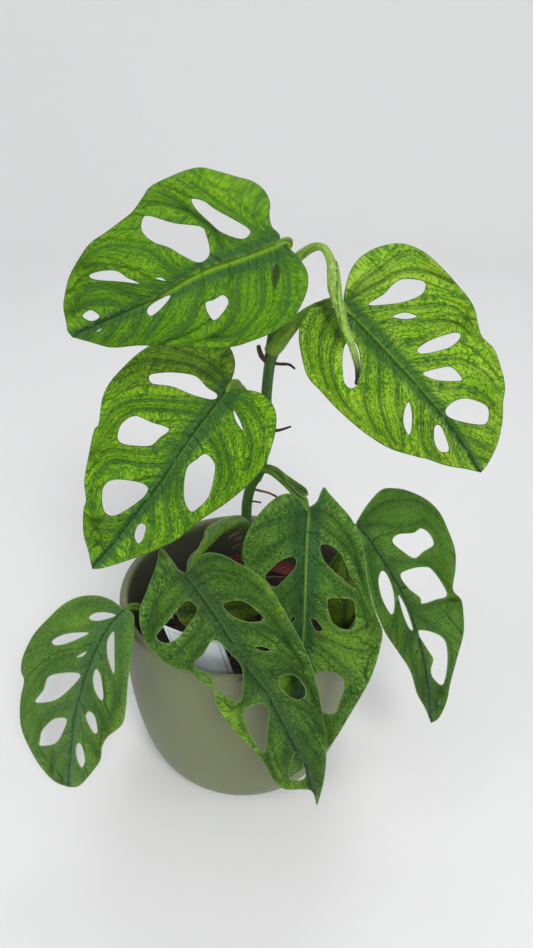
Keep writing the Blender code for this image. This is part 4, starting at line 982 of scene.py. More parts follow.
def vein_field(blade, spots, curves):
    """How far each spot is from its nearest side vein, and its place along and between the veins."""
    nearest = np.full(len(spots), 1.0)
    along = spots[:, 0].copy()
    between = spots[:, 1] / VEIN_SPACING
    rib = np.array(even_spline(blade.midrib(), INNER_STEP))
    beyond = spots[:, 1] >= np.interp(spots[:, 0], rib[:, 0], rib[:, 1])
    for side, lines in zip((1, -1), curves):
        mine = np.flatnonzero(beyond == (side > 0))
        if len(lines) < 2:
            continue
        nearest[mine] = np.array([gap_to_line(spots[mine], line)[0] for line in lines]).min(0)
        longer = [np.concatenate([line, [line[-1] + (line[-1] - line[-VEIN_END]) * VEIN_REACH]])
                  for line in lines]
        gaps, reaches = np.array([gap_to_line(spots[mine], line) for line in longer]).transpose(1, 0, 2)
        order = gaps.argmin(0)
        row = np.arange(len(mine))
        low = np.where(order > 0, order - 1, 1)
        high = np.where(order < len(lines) - 1, order + 1, len(lines) - 2)
        other = np.where(gaps[low, row] < gaps[high, row], low, high)
        own_gap, other_gap = gaps[order, row], gaps[other, row]
        share = own_gap / (own_gap + other_gap)
        along[mine] = reaches[order, row] * (1 - share) + reaches[other, row] * share
        between[mine] = order + (other - order) * share + SIDES_APART * side
    return nearest, along, between


def glow_field(name, blade, spots):
    """How much yellower and lighter the blade is at each spot, from its patches of own colour and painted
    light.
    """
    glow = np.zeros(len(spots))
    for pixel, radius, strength in YELLOW_AND_PAINTED_LIGHT_PATCHES.get(name, ()):
        gap = np.hypot(*(spots - np.array(blade.lay(pixel))).T)
        glow = np.maximum(glow, strength * np.exp(-(gap / (radius * MM)) ** 2))
    return glow


def add_object(name, data, node, material):
    """A piece that stands for a node of the solid model."""
    made = bpy.data.objects.new(name, data)
    bpy.context.scene.collection.objects.link(made)
    data.materials.append(material)
    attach(made, "root")
    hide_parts(node)
    return made


def add_values(data, **values):
    """Keeps one number or one triple for each corner of a mesh, for its material to read."""
    for name, numbers in values.items():
        numbers = np.asarray(numbers, np.float32)
        if numbers.ndim == 1:
            data.attributes.new(name, "FLOAT", "POINT").data.foreach_set("value", numbers)
        else:
            data.attributes.new(name, "FLOAT_VECTOR", "POINT").data.foreach_set("vector", numbers.ravel())


def blade_relief(node, blade, spots, edge, rib, vein, flow):
    """How far each spot stands off the smooth surface: puckers, fine veins, side veins and midrib."""
    along, between = flow
    inner = np.clip(edge / MARGIN_CALM, 0, 1) * np.clip(rib / RIB_CALM, 0, 1)
    pucker = np.array([noise.noise((u / PUCKER_LENGTH, PUCKER_STRETCH * v, blade.length * LEAF_SEED))
                       + SMALL_PUCKER * noise.noise((x / PUCKER_LENGTH * 2, y / PUCKER_LENGTH * 2, 0.5))
                       for u, v, (x, y) in zip(along, between, spots)])
    fine = np.cos(math.tau * FINE_VEINS * between) * np.clip(vein / VEIN_CALM, 0, 1)
    relief = PUCKER * pucker - FINE_DEPTH * fine - VEIN_DEPTH * np.exp(-(vein / VEIN_WIDTH) ** 2)
    relief *= inner * CREASED.get(node, 1)
    return relief - RIB_DEPTH * np.exp(-(rib / RIB_WIDTH) ** 2)


def two_sided(name, top, bottom, faces):
    """A mesh of a blade's face, its underside and the rim that joins them."""
    count = len(top)
    pairs = np.concatenate([faces[:, [0, 1]], faces[:, [1, 2]], faces[:, [2, 0]]])
    known = set(map(tuple, pairs.tolist()))
    rim = [(b, a, a + count, b + count) for a, b in known if (b, a) not in known]
    under = (faces[:, ::-1] + count).tolist()
    data = bpy.data.meshes.new(name)
    data.from_pydata(np.concatenate([top, bottom]).tolist(), [], faces.tolist() + under + sorted(rim))
    data.shade_smooth()
    return data


def blade_piece(name, blade, veins, node, material):
    """A blade or a sheath, with the values that its material reads."""
    margin = blade.margin()
    holes = blade.holes()
    curves = vein_curves(blade, veins)
    rib_curve = np.array(even_spline(blade.midrib(), INNER_STEP))
    spots, faces = flat_triangles(margin, holes, np.concatenate([rib_curve] + curves[0] + curves[1]))
    s, t = spots[:, 0], spots[:, 1]
    edge = np.min([gap_to_line(spots, np.concatenate([loop, loop[:1]]))[0] for loop in [margin] + holes], 0)
    rib = gap_to_line(spots, rib_curve)[0]
    vein, *flow = vein_field(blade, spots, curves)
    share = np.clip(s / blade.length, 0, 1)
    relief = blade_relief(node, blade, spots, edge, rib, vein, flow)
    full, loss = RIDGE_RUN_OUT
    ridge = RIB_RIDGES.get(node, 0) * np.exp(-(rib / RIB_WIDTH) ** 2) * np.clip(full - loss * share, 0, 1)
    half = BLADE_THICKNESS / 2 * (1 - BEAD_THINNING * np.clip(1 - edge / BEAD_WIDTH, 0, 1))
    data = two_sided(
        name, blade.points(s, t, relief + ridge + half), blade.points(s, t, relief - half), faces)
    flow_skin = np.stack([flow[0] / MM, flow[1] * VEIN_SPACING / MM, 0 * s], 1)
    add_values(
        data, edge=np.tile(edge / MM, 2), rib=np.tile(rib / MM, 2), vein=np.tile(vein / MM, 2),
        share=np.tile(share, 2), under=np.repeat([0.0, 1.0], len(spots)), flow=np.tile(flow_skin, (2, 1)),
        glow=np.tile(glow_field(node, blade, spots), 2))
    return add_object(name, data, node, material)


# Stalks

def tube_faces(rings):
    """The faces of a tube of so many rings of corners, closed at both ends."""
    faces = []
    for i in range(rings - 1):
        for k in range(STALK_SIDES):
            a = i * STALK_SIDES + k
            b = i * STALK_SIDES + (k + 1) % STALK_SIDES
            faces.append((a, b, b + STALK_SIDES, a + STALK_SIDES))
    last = (rings - 1) * STALK_SIDES
    return faces + [tuple(range(STALK_SIDES))[::-1], tuple(range(last, last + STALK_SIDES))]


def swept(name, knots, section, face, steps=STALK_STEPS, rings=()):
    """A stalk through (point, radius) knots; section(angle, knot) gives its reach, rim and shade."""
    path = spline([Vector((*point, radius)) for point, radius in knots], [steps] * (len(knots) - 1))
    places = [Vector(at[:3]) for at in path]
    run = np.concatenate([[0], np.cumsum([(b - a).length for a, b in zip(places, places[1:])])])
    corners = []
    marks = []
    skin = []
    side = face
    for i, at in enumerate(places):
        tangent = (places[min(i + 1, len(places) - 1)] - places[max(i - 1, 0)]).normalized()
        pulled = face * FACE_PULL + side
        side = (pulled - tangent * pulled.dot(tangent)).normalized()
        across = tangent.cross(side)
        ring = max([math.exp(-((run[i] - run[k * steps]) / RING_LENGTH) ** 2) for k in rings] or [0])
        for k in range(STALK_SIDES):
            angle = math.tau * k / STALK_SIDES
            reach, rim, shade = section(angle, i / steps)
            radius = path[i][3] * reach + RING_HEIGHT * ring
            corners.append(at + (side * math.cos(angle) + across * math.sin(angle)) * radius)
            skin.append((math.sin(angle / 2) * SKIN_TURN, math.cos(angle / 2) * SKIN_TURN, run[i] / MM))
            marks.append((rim, shade, ring))
    data = bpy.data.meshes.new(name)
    data.from_pydata(corners, [], tube_faces(len(places)))
    data.shade_smooth()
    rims, shades, nodes = np.array(marks).T
    shares = np.repeat(run / run[-1], STALK_SIDES)
    add_values(data, share=shares, rim=rims, shade=shades, ring=nodes, skin=np.array(skin))
    return data


def plain_section(angle, knot):
    return 1.0, 0.0, 0.0


def channel_section(depth, last):
    """A round section that opens on its face, up to the last knot, into a channel between two wings, and
    where painted shade lies in that channel.
    """
    def section(angle, knot):
        turn = min(angle, math.tau - angle)
        fade = depth * math.sin(math.pi * (knot / last) ** CHANNEL_START) ** 0.5 if knot < last else 0
        groove = math.exp(-(turn / CHANNEL_HALF_WIDTH) ** 2)
        seed = (TEAR_SEED[0] * depth, math.copysign(TEAR_SEED[1], angle - math.pi), TEARS_PER_KNOT * knot)
        tears = 1 + WING_TEARS * noise.noise(seed)
        wing = tears * math.exp(-((turn - WING_TURN) / WING_WIDTH) ** 2)
        reach = 1 - CHANNEL_CUT * fade * groove + WING_HEIGHT * fade * wing
        return reach, fade * wing, fade * groove
    return section


def roll_section(angle, knot):
    """One turn of a spiral, with the step where the rolled blade's margin lies over itself, and the seam
    for its painted shade.
    """
    turn = (angle - ROLL_TWIST * knot) % math.tau
    lip = LIP_HEIGHT * (1 + LIP_TEARS * noise.noise((0, 0, TEARS_PER_KNOT * knot)))
    reach = ROLL_REACH + lip * (turn / math.tau) ** LIP_CURVE
    return reach, math.exp(-((math.tau - turn) / SEAM_WIDTH) ** 2), 0.0


def knots_in_space(knots, girths=()):
    """Where the knots are and their radii, times girths, whose last one holds for the rest."""
    girths = (*girths, *[girths[-1] if girths else 1.0] * len(knots))
    return [(on_sight(pixel, y * MM), radius * girth * MM)
            for (pixel, y, radius), girth in zip(knots, girths)]


def stalk_and_rib(blade, petiole, girths):
    """The petiole's knots, then the midrib's, which run on under the blade and thin out."""
    knots = knots_in_space(petiole, girths)
    start = petiole[-1][2] * MM * RIB_START
    for spot in even_spline(blade.midrib(), RIB_STEP)[1:-2]:
        radius = max(start * (1 - spot.x / blade.length), RIB_END_RADIUS)
        knots.append((blade.point(spot.x, spot.y, -RIB_SINK - radius), radius))
    return knots


def leaf(name, materials):
    """A leaf: its blade, its petiole with the midrib, and its sheath where it has one."""
    blade = Blade(**LIES[name])
    slot_name = "young_leaf" if name in YOUNG_LEAVES else "old_leaf"
    skin = leaf_material(name + "_skin", LOOKS[name])
    blade_piece(name + "_blade", blade, VEINS[name], name, skin)
    section = channel_section(CHANNELS.get(name, CHANNEL_DEPTH), len(PETIOLES[name]) - 0.5)
    knots = stalk_and_rib(blade, PETIOLES[name], GIRTHS.get(name, ()))
    data = swept(name + "_petiole", knots, section, CHANNEL_FACES.get(name, CHANNEL_FACE))
    add_object(name + "_petiole", data, name, materials[slot_name])
    if name in SHEATHS:
        flap = Blade(**SHEATHS[name])
        blade_piece(name + "_sheath", flap, ((), ()), name, materials["sheath"])


def knobbly_section(seed):
    """A root's lumpy section."""
    def section(angle, knot):
        spot = [LUMPS_PER_KNOT * number for number in (math.cos(angle), math.sin(angle), knot)]
        spot[2] += LUMP_SEED * seed
        return 1 + ROOT_LUMPS * noise.noise(spot), 0.0, 0.0
    return section


def stem_and_roots(materials):
    data = swept("stem_main", knots_in_space(STEM), plain_section, STEM_FACE, rings=STEM_RINGS)
    add_object("stem_main", data, "stem", materials["stem"])
    for i, root in enumerate(ROOTS + DRY_ROOTS):
        name = f"aerial_root_{i + 1}"
        data = swept(name, knots_in_space(root), knobbly_section(i), STEM_FACE)
        add_object(name, data, "stem", materials["root" if i < DARK_ROOTS else "dry_root"])


def new_leaf(materials):
    parts = (("new_leaf_roll", NEW_LEAF_ROLL, roll_section, ROLL_FACE, "new_leaf"),
             ("new_leaf_stalk", NEW_LEAF_STALK, plain_section, CHANNEL_FACE, "new_stalk"))
    for name, knots, section, face, material in parts:
        data = swept(name, knots_in_space(knots, (ROLL_GIRTH,)), section, face)
        add_object(name, data, "new_leaf", materials[material])


# Pots

def turned(name, profile, steps=TURN_STEPS):
    """A closed profile of (radius, height), inside first, turned about the upright axis.

    A spin leaves the faces in any order, so they are sorted, and each run gives the same mesh.
    """
    shape = bmesh.new()
    made = [shape.verts.new((radius, 0, height)) for radius, height in profile]
    for a, b in zip(made, made[1:]):
        shape.edges.new((a, b))
    bmesh.ops.spin(
        shape, geom=shape.verts[:] + shape.edges[:], axis=(0, 0, 1), cent=(0, 0, 0), dvec=(0, 0, 0),
        angle=math.tau, steps=steps, use_duplicate=False)
    bmesh.ops.remove_doubles(shape, verts=shape.verts, dist=SAME_PLACE)
    bmesh.ops.recalc_face_normals(shape, faces=shape.faces)
    shape.verts.index_update()
    corners = [corner.co.copy() for corner in shape.verts]
    faces = sorted([corner.index for corner in face.verts] for face in shape.faces)
    shape.free()
    data = bpy.data.meshes.new(name)
    data.from_pydata(corners, [], faces)
    data.shade_smooth()
    data.set_sharp_from_angle(angle=CREASE_ANGLE)
    return data


def bellied(base_radius, top_radius, bottom, top):
    """The cover pot's curve, from its foot up to its rim: wide at once, then nearly upright."""
    points = []
    for i in range(POT_RINGS + 1):
        turn = math.pi / 2 * (1 - i / POT_RINGS)
        inward = math.sin(turn) ** (2 / POT_BELLY)
        outward = math.cos(turn) ** (2 / POT_BELLY) if i else 0.0
        points.append((base_radius + (top_radius - base_radius) * outward, top - (top - bottom) * inward))
    return points


def half_round(middle, top, radius, count):
    """A rim's rounding, from its inner side over the top to its outer side."""
    angles = [math.pi * (1 - i / count) for i in range(1, count)]
    return [(middle + radius * math.cos(a), top - radius + radius * math.sin(a)) for a in angles]


def cover_pot(materials):
    lip = POT_WALL / 2
    inner = bellied(POT_BASE_RADIUS - POT_INNER_SHRINK, POT_RADIUS - POT_WALL, POT_FLOOR, POT_HEIGHT - lip)
    outer = bellied(POT_BASE_RADIUS, POT_RADIUS, 0, POT_HEIGHT - lip)
    rim = half_round(POT_RADIUS - lip, POT_HEIGHT, lip, POT_RIM_STEPS)
    data = turned("cover_pot_body", [(0, POT_FLOOR)] + inner + rim + outer[::-1] + [(0, 0)])
    add_object("cover_pot_body", data, "cover_pot", materials["cover_pot"])


def nursery_pot(materials):
    shoulder = LINER_TOP - LINER_COLLAR
    wall = LINER_WALL
    outside = [(LINER_BASE_RADIUS - LINER_CHAMFER, LINER_FOOT),
               (LINER_BASE_RADIUS, LINER_FOOT + LINER_CHAMFER),
               (LINER_RADIUS - LINER_STEP, shoulder), (LINER_RADIUS, shoulder)]
    inside = [(LINER_BASE_RADIUS - wall, LINER_FOOT + wall),
              (LINER_RADIUS - LINER_STEP - wall, shoulder + wall)]
    for rib in range(LINER_RIBS):
        height = shoulder + wall + (LINER_RIB_START + LINER_RIB_SPACING * rib) * MM
        inside += [(LINER_RADIUS - wall, height - LINER_RIB_HALF),
                   (LINER_RADIUS - LINER_RIB_REACH * wall, height),
                   (LINER_RADIUS - wall, height + LINER_RIB_HALF)]
    rim = half_round(LINER_RADIUS - wall / 2, LINER_TOP, wall / 2, LINER_RIM_STEPS)
    profile = [(0, LINER_FOOT + wall)] + inside + rim + outside[::-1] + [(0, LINER_FOOT)]
    data = turned("nursery_pot_body", profile)
    add_object("nursery_pot_body", data, "nursery_pot", materials["nursery_pot"])


def soil_surface(x, y):
    """The height of the soil's lumpy top."""
    return SOIL_TOP + SOIL_LUMPS * noise.noise((x / SOIL_LUMP_LENGTH, y / SOIL_LUMP_LENGTH, SOIL_SEED))


def potting_soil(materials):
    low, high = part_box("soil")
    radius = high.x
    flat_top = [(radius * i / SOIL_RINGS, SOIL_TOP) for i in range(SOIL_RINGS + 1)]
    waist = (radius * SOIL_WAIST[0], SOIL_TOP * SOIL_WAIST[1])
    profile = flat_top + [waist, (radius * SOIL_BASE, low.z), (0, low.z)]
    data = turned("soil_bed", profile)
    for corner in data.vertices:
        if corner.co.z > SOIL_TOP - MM and math.hypot(corner.co.x, corner.co.y) < radius - SOIL_EDGE:
            corner.co.z = soil_surface(corner.co.x, corner.co.y)
    add_object("soil_bed", data, "soil", materials["soil"])
    bark_chips(radius - BARK_INSET, materials["bark"])
    rootlets(radius - ROOTLET_INSET, materials["root"])


def chip_block():
    """Corners and faces of a cube whose faces are split in four."""
    shape = bmesh.new()
    bmesh.ops.create_cube(shape, size=1)
    bmesh.ops.subdivide_edges(shape, edges=shape.edges[:], cuts=1, use_grid_fill=True)
    shape.verts.index_update()
    corners = [corner.co.copy() for corner in shape.verts]
    faces = [[corner.index for corner in face.verts] for face in shape.faces]
    shape.free()
    return corners, faces


def bark_chips(reach, material):
    """Broken bits of bark and a few pale grains that lie on the soil."""
    dice = random.Random(BARK_SEED)
    block, block_faces = chip_block()
    corners = []
    faces = []
    tones = []
    for i in range(BARK_PIECES):
        pale = i % PALE_GRAIN_EVERY == 0
        size = Vector([dice.uniform(*span) for span in CHIP_SPANS]) * MM
        if pale:
            size = Vector((1, 1, 1)) * dice.uniform(*GRAIN_SPAN) * MM
        angle = dice.uniform(0, math.tau)
        far = reach * math.sqrt(dice.random()) * BARK_REACH
        x, y = far * math.cos(angle), far * math.sin(angle)
        place = Matrix.Translation((x, y, soil_surface(x, y) + dice.uniform(0, CHIP_LIFT) * MM))
        turn = Matrix.Rotation(dice.uniform(0, math.tau), 4, "Z")
        tilt = Matrix.Rotation(dice.uniform(-CHIP_TILT, CHIP_TILT), 4, "X")
        lean = Matrix.Rotation(dice.uniform(-CHIP_LEAN, CHIP_LEAN), 4, "Y")
        faces += [[corner + len(corners) for corner in face] for face in block_faces]
        for corner in block:
            spot = corner.lerp(corner.normalized() * 0.5, GRAIN_ROUNDNESS if pale else CHIP_ROUNDNESS)
            spot += Vector([dice.uniform(-CHIP_NUDGE, CHIP_NUDGE) for _ in range(3)])
            corners.append(place @ turn @ tilt @ lean @ (spot * size))
        tones += [GRAIN_TONE if pale else dice.random() ** CHIP_TONES] * len(block)
    data = bpy.data.meshes.new("soil_bark")
    data.from_pydata(corners, [], faces)
    add_values(data, tone=tones)
    add_object("soil_bark", data, "soil", material)


def rootlets(reach, material):
    """Thin dry roots that lie over the bark."""
    dice = random.Random(ROOTLET_SEED)
    for i in range(ROOTLETS):
        angle = dice.uniform(0, math.tau)
        start = Vector((math.cos(angle), math.sin(angle))) * reach * dice.uniform(*ROOTLET_SPREAD)
        heading = dice.uniform(0, math.tau)
        knots = []
        for k in range(ROOTLET_KNOTS):
            x, y = start + Vector((math.cos(heading), math.sin(heading))) * k * ROOTLET_STEP
            if math.hypot(x, y) > reach:
                break
            radius = ROOTLET_RADIUS * (1 - k / ROOTLET_THINNING)
            knots.append((Vector((x, y, soil_surface(x, y) + ROOTLET_HEIGHT)), radius))
            heading += dice.uniform(-ROOTLET_WANDER, ROOTLET_WANDER)
        if len(knots) > 2:
            name = f"soil_rootlet_{i + 1}"
            data = swept(name, knots, knobbly_section(i), Vector((0, 0, 1)), steps=ROOTLET_STEPS)
            add_object(name, data, "soil", material)


def label_sheets():
    """The corners of the label's two bowed sheets, their places on the card in mm, and the faces."""
    columns, rows = TAG_SPLITS
    across_axis = TAG_ACROSS.normalized()
    down_axis = TAG_DOWN.normalized()
    out = TAG_DOWN.cross(TAG_ACROSS).normalized()
    corners = []
    places = []
    for side in (0.5, -0.5):
        for j in range(rows + 1):
            for i in range(columns + 1):
                across, down = i / columns, j / rows
                bow = TAG_BOW * 4 * across * (1 - across)
                corners.append(TAG_CORNER + across_axis * (across * TAG_WIDTH)
                               + down_axis * (down * TAG_HEIGHT) + out * (bow + side * TAG_THICKNESS))
                places.append((across * TAG_WIDTH / MM, down * TAG_HEIGHT / MM, 0))
    sheet = (columns + 1) * (rows + 1)
    faces = []
    for j in range(rows):
        for i in range(columns):
            a = j * (columns + 1) + i
            quad = (a, a + columns + 1, a + columns + 2, a + 1)
            faces += [quad, tuple(corner + sheet for corner in quad[::-1])]
    return corners, places, faces


def plant_label(materials):
    """The bare plant label: a thin bowed plate with a border line."""
    corners, places, faces = label_sheets()
    data = bpy.data.meshes.new("label_plate")
    shape = bmesh.new()
    made = [shape.verts.new(corner) for corner in corners]
    for face in faces:
        shape.faces.new([made[i] for i in face])
    open_edges = [edge for edge in shape.edges if edge.is_boundary]
    bmesh.ops.bridge_loops(shape, edges=open_edges)
    bmesh.ops.recalc_face_normals(shape, faces=shape.faces)
    shape.to_mesh(data)
    shape.free()
    data.shade_smooth()
    data.set_sharp_from_angle(angle=TAG_CREASE)
    add_values(data, spot=np.array(places))
    add_object("label_plate", data, "plant_label", materials["plant_label"])


# Materials

class Shader:
    """A Principled material whose nodes are wired with short calls."""

    def __init__(self, name, roughness, **fixed):
        self.material = bpy.data.materials.new(name)
        self.material.use_nodes = True
        self.tree = self.material.node_tree
        self.body = self.tree.nodes["Principled BSDF"]
        self.put(self.body.inputs["Roughness"], roughness)
        for socket, value in fixed.items():
            self.put(self.body.inputs[socket.replace("_", " ")], value)

    def put(self, socket, value):
        if isinstance(value, bpy.types.NodeSocket):
            self.tree.links.new(value, socket)
        elif isinstance(value, tuple) and len(value) == 3 and socket.type == "RGBA":
            socket.default_value = (*value, 1)
        else:
            socket.default_value = value

    def node(self, kind, **settings):
        made = self.tree.nodes.new("ShaderNode" + kind)
        for name, value in settings.items():
            setattr(made, name, value)
        return made

    def wired(self, kind, **values):
        """A node with the named inputs set or wired."""
        made = self.node(kind)
        for name, value in values.items():
            self.put(made.inputs[name], value)
        return made

    def maths(self, operation, *values):
        made = self.node("Math", operation=operation)
        for socket, value in zip(made.inputs, values):
            self.put(socket, value)
        return made.outputs[0]

    def band(self, value, low, high, start=0.0, end=1.0):
        """A smooth step from start to end as value goes from low to high."""
        made = self.node("MapRange", interpolation_type="SMOOTHSTEP")
        for socket, number in zip(made.inputs, (value, low, high, start, end)):
            self.put(socket, number)
        return made.outputs[0]

    def mix(self, share, first, second):
        made = self.node("Mix", data_type="RGBA")
        for socket, value in ((0, share), (6, first), (7, second)):
            self.put(made.inputs[socket], value)
        return made.outputs[2]

    def value(self, name):
        return self.node("Attribute", attribute_name=name).outputs["Fac"]

    def place(self, name=None, stretch=(1, 1, 1)):
        """Coordinates from the mesh's own values, or else the object's, stretched."""
        if name:
            spot = self.node("Attribute", attribute_name=name).outputs["Vector"]
        else:
            spot = self.node("TexCoord").outputs["Object"]
        return self.wired("Mapping", Vector=spot, Scale=stretch).outputs[0]

    def split(self, spot):
        """A spot's x, y and z."""
        return self.wired("SeparateXYZ", Vector=spot).outputs

    def noise(self, spot, scale, detail=2.0, roughness=0.5):
        return self.wired(
            "TexNoise", Vector=spot, Scale=scale, Detail=detail, Roughness=roughness).outputs["Fac"]

    def cells(self, spot, scale):
        return self.wired("TexVoronoi", Vector=spot, Scale=scale).outputs["Distance"]

    def bump(self, height, distance, strength=1.0):
        made = self.wired("Bump", Height=height, Distance=distance, Strength=strength)
        self.put(self.body.inputs["Normal"], made.outputs[0])

    def finish(self, colour, roughness=None):
        self.put(self.body.inputs["Base Color"], colour)
        if roughness is not None:
            self.put(self.body.inputs["Roughness"], roughness)
        return self.material


def leaf_mottling(shader, look, glow):
    """The streaks, mottles and cells of a leaf's skin, and how light they make it in all."""
    grain = look["grain"]
    streaks = shader.noise(shader.place("flow", (0.35, 1.0, 1)), grain, 4, 0.65)
    mottles = shader.noise(shader.place(stretch=PER_MM), 0.9 * grain, 5, 0.8)
    clouds = shader.noise(shader.place(stretch=PER_MM), 0.08, 3, 0.55)
    cells = shader.cells(shader.place("flow", (0.65, 1.05, 1)), grain)
    tone = look["lift"]
    for layer, weight in ((cells, -1.3), (streaks, 1.1), (mottles, 1.9), (clouds, 1.0)):
        tone = shader.maths("MULTIPLY_ADD", layer, weight, tone)
    tone = shader.maths("MULTIPLY_ADD", tone, look["contrast"], MIDDLE_TONE * (1 - look["contrast"]))
    # The patches of own yellow and painted light lift the tone
    return streaks, mottles, cells, shader.maths("MULTIPLY_ADD", glow, 0.3, tone)


def green_between_veins(shader, look, tone, glow):
    """From dark over middle and bright to pale flecks, partly painted glints, and yellower and lighter in
    the patches of own colour and painted light.
    """
    green = shader.mix(shader.band(tone, 0.05, 0.45), look["dark"], look["middle"])
    green = shader.mix(shader.band(tone, 0.4, 0.8), green, look["bright"])
    # Pale flecks, partly the leaf's own and partly painted glints
    green = shader.mix(shader.band(tone, 0.75, 1.05, 0.0, look["flecks_and_painted_glints"]), green, look["fleck_and_painted_glint"])
    # Own yellow and painted light: the patches mix in the young leaves' bright green
    yellow_and_painted_light_mix = shader.maths("MULTIPLY", glow, shader.band(tone, 0.2, 0.9, 0.1, 0.6))
    return shader.mix(yellow_and_painted_light_mix, green, YOUNG["bright"])


def vein_zones(shader, look, marks, streaks, tone):
    """The smooth zones round the midrib and the side veins, with wobbly edges, by how much they cover."""
    rib, vein, share = marks["rib"], marks["vein"], marks["share"]
    wobble = shader.maths("MULTIPLY_ADD", streaks, 4.0, -2.0)
    near_rib = shader.maths("ADD", rib, wobble)
    near_vein = shader.maths("MULTIPLY_ADD", wobble, 0.6, vein)
    rib_zone = shader.band(near_rib, 0.5, shader.band(share, 0, 1, look["zone"], 5.0), 1.0, 0.0)
    vein_zone = shader.band(near_vein, -0.5, shader.band(rib, 4, 28, 4.0, 2.0), 0.75, 0.0)
    zones = shader.maths("MAXIMUM", rib_zone, vein_zone)
    zones = shader.maths("MULTIPLY", zones, shader.band(tone, 0.4, 1.2, 1.0, 0.6))
    inner, outer = 0.35 * look["zone"], 0.65 * look["zone"]
    ends = [shader.band(share, 0, 1, reach, 0.35 * reach) for reach in (inner, outer)]
    return shader.maths("MAXIMUM", zones, shader.band(near_rib, *ends, 0.95, 0.0))


def vein_threads(shader, look, streaks):
    """Thin broken threads that run between the side veins."""
    lanes = shader.split(shader.place("flow", (1, FINE_VEINS * MM / VEIN_SPACING, 1)))[1]
    drift = shader.noise(shader.place("flow", (0.12, 0.1, 1)), 1.0, 3)
    apart = shader.maths("PINGPONG", shader.maths("MULTIPLY_ADD", drift, 0.7, lanes), 0.5)
    lines = shader.band(apart, 0.02, 0.12, look["threads"], 0.0)
    return shader.maths("MULTIPLY", lines, shader.band(streaks, 0.35, 0.6))


def vein_lines(shader, look, marks, green):
    """Draws the side veins, the midrib, pale near the base and dark beyond, and the margin."""
    edge, rib, vein = marks["edge"], marks["rib"], marks["vein"]
    width = look["rib_width"]
    groove = shader.maths(
        "MULTIPLY", shader.band(vein, 0.1, 0.8, look["groove"], 0.0), shader.band(edge, 1, 5))
    groove = shader.maths("MULTIPLY", groove, shader.band(rib, width, width + 2))
    green = shader.mix(groove, green, look["line"])
    near_base = shader.band(marks["share"], 0.35, 0.8, 1.0, 0.0)
    pale_line = shader.maths("MULTIPLY", shader.band(rib, 0.2, width, 1.0, 0.0), near_base)
    dark_line = shader.maths("SUBTRACT", shader.band(rib, 0.2, 1.0, 0.6, 0.0), pale_line)
    green = shader.mix(shader.maths("MAXIMUM", dark_line, 0.0), green, look["line"])
    green = shader.mix(pale_line, green, look["rib"])
    return shader.mix(shader.band(edge, 0.15, 0.55, 0.85, 0.0), green, look["margin"])


def dull_underside(shader, look, vein, mottles):
    """The plainer green of the underside, darker along the side veins."""
    dull = shader.mix(shader.band(vein, 0.2, 1.2, 0.5, 0.0), look["under"], look["deep"])
    return shader.mix(shader.band(mottles, 0.35, 0.65, 0.0, 0.4), dull, look["middle"])


def leaf_material(name, look):
    """Mottled green: small bright cells between the veins, smooth blue-green over them, pale flecks that
    are partly painted glints.
    """
    shader = Shader(name, 0.4, Specular_IOR_Level=look["gloss"])
    marks = {mark: shader.value(mark) for mark in ("edge", "rib", "vein", "share", "under", "glow")}
    under, glow = marks["under"], marks["glow"]
    streaks, mottles, cells, tone = leaf_mottling(shader, look, glow)
    threads = vein_threads(shader, look, streaks)
    zones = vein_zones(shader, look, marks, streaks, tone)
    zone_green = shader.mix(shader.band(tone, 0.2, 1.2), look["deep"], look["zone_light"])
    green = shader.mix(zones, green_between_veins(shader, look, tone, glow), zone_green)
    green = shader.mix(threads, green, look["deep"])
    green = vein_lines(shader, look, marks, green)
    green = shader.mix(under, green, dull_underside(shader, look, marks["vein"], mottles))
    relief = shader.maths("MULTIPLY_ADD", cells, -1.2, mottles)
    relief = shader.maths("MULTIPLY_ADD", threads, -1.2, relief)
    shader.bump(relief, GRAIN_HEIGHTS["leaf"])
    rough = shader.maths("MULTIPLY_ADD", under, 0.2, shader.band(mottles, 0.3, 0.7, 0.26, 0.42))
    return shader.finish(green, rough)


def stalk_material(name, colours):
    """Smooth green skin with fine lengthwise streaks, painted shade in the open channel, pale wing edges
    and brown rings.
    """
    shader = Shader(name, 0.42, Specular_IOR_Level=0.25)
    streaks = shader.noise(shader.place("skin", (1, 1, 0.12)), 1.6, 4, 0.6)
    clouds = shader.noise(shader.place("skin", (0.3, 0.3, 0.09)), 1.0, 2)
    green = shader.mix(shader.band(streaks, 0.35, 0.68), *colours)
    green = shader.mix(shader.band(clouds, 0.42, 0.7, 0.0, 0.6), green, colours[1])
    dots = shader.cells(shader.place("skin", (1, 1, 0.6)), 1.3)
    green = shader.mix(shader.band(dots, 0.05, 0.16, 0.35, 0.0), green, PALE_EDGE)
    # Painted shade: the inside of the channel is darkened by the shade value
    green = shader.mix(shader.band(shader.value("shade"), 0.1, 0.7, 0.0, 0.85), green, CHANNEL_PAINTED_SHADE)
    green = shader.mix(shader.band(shader.value("rim"), 0.65, 0.95), green, PALE_EDGE)
    green = shader.mix(shader.band(shader.value("ring"), 0.3, 0.9, 0.0, 0.8), green, RING_BROWN)
    shader.bump(streaks, GRAIN_HEIGHTS["stalk"])
    return shader.finish(green)


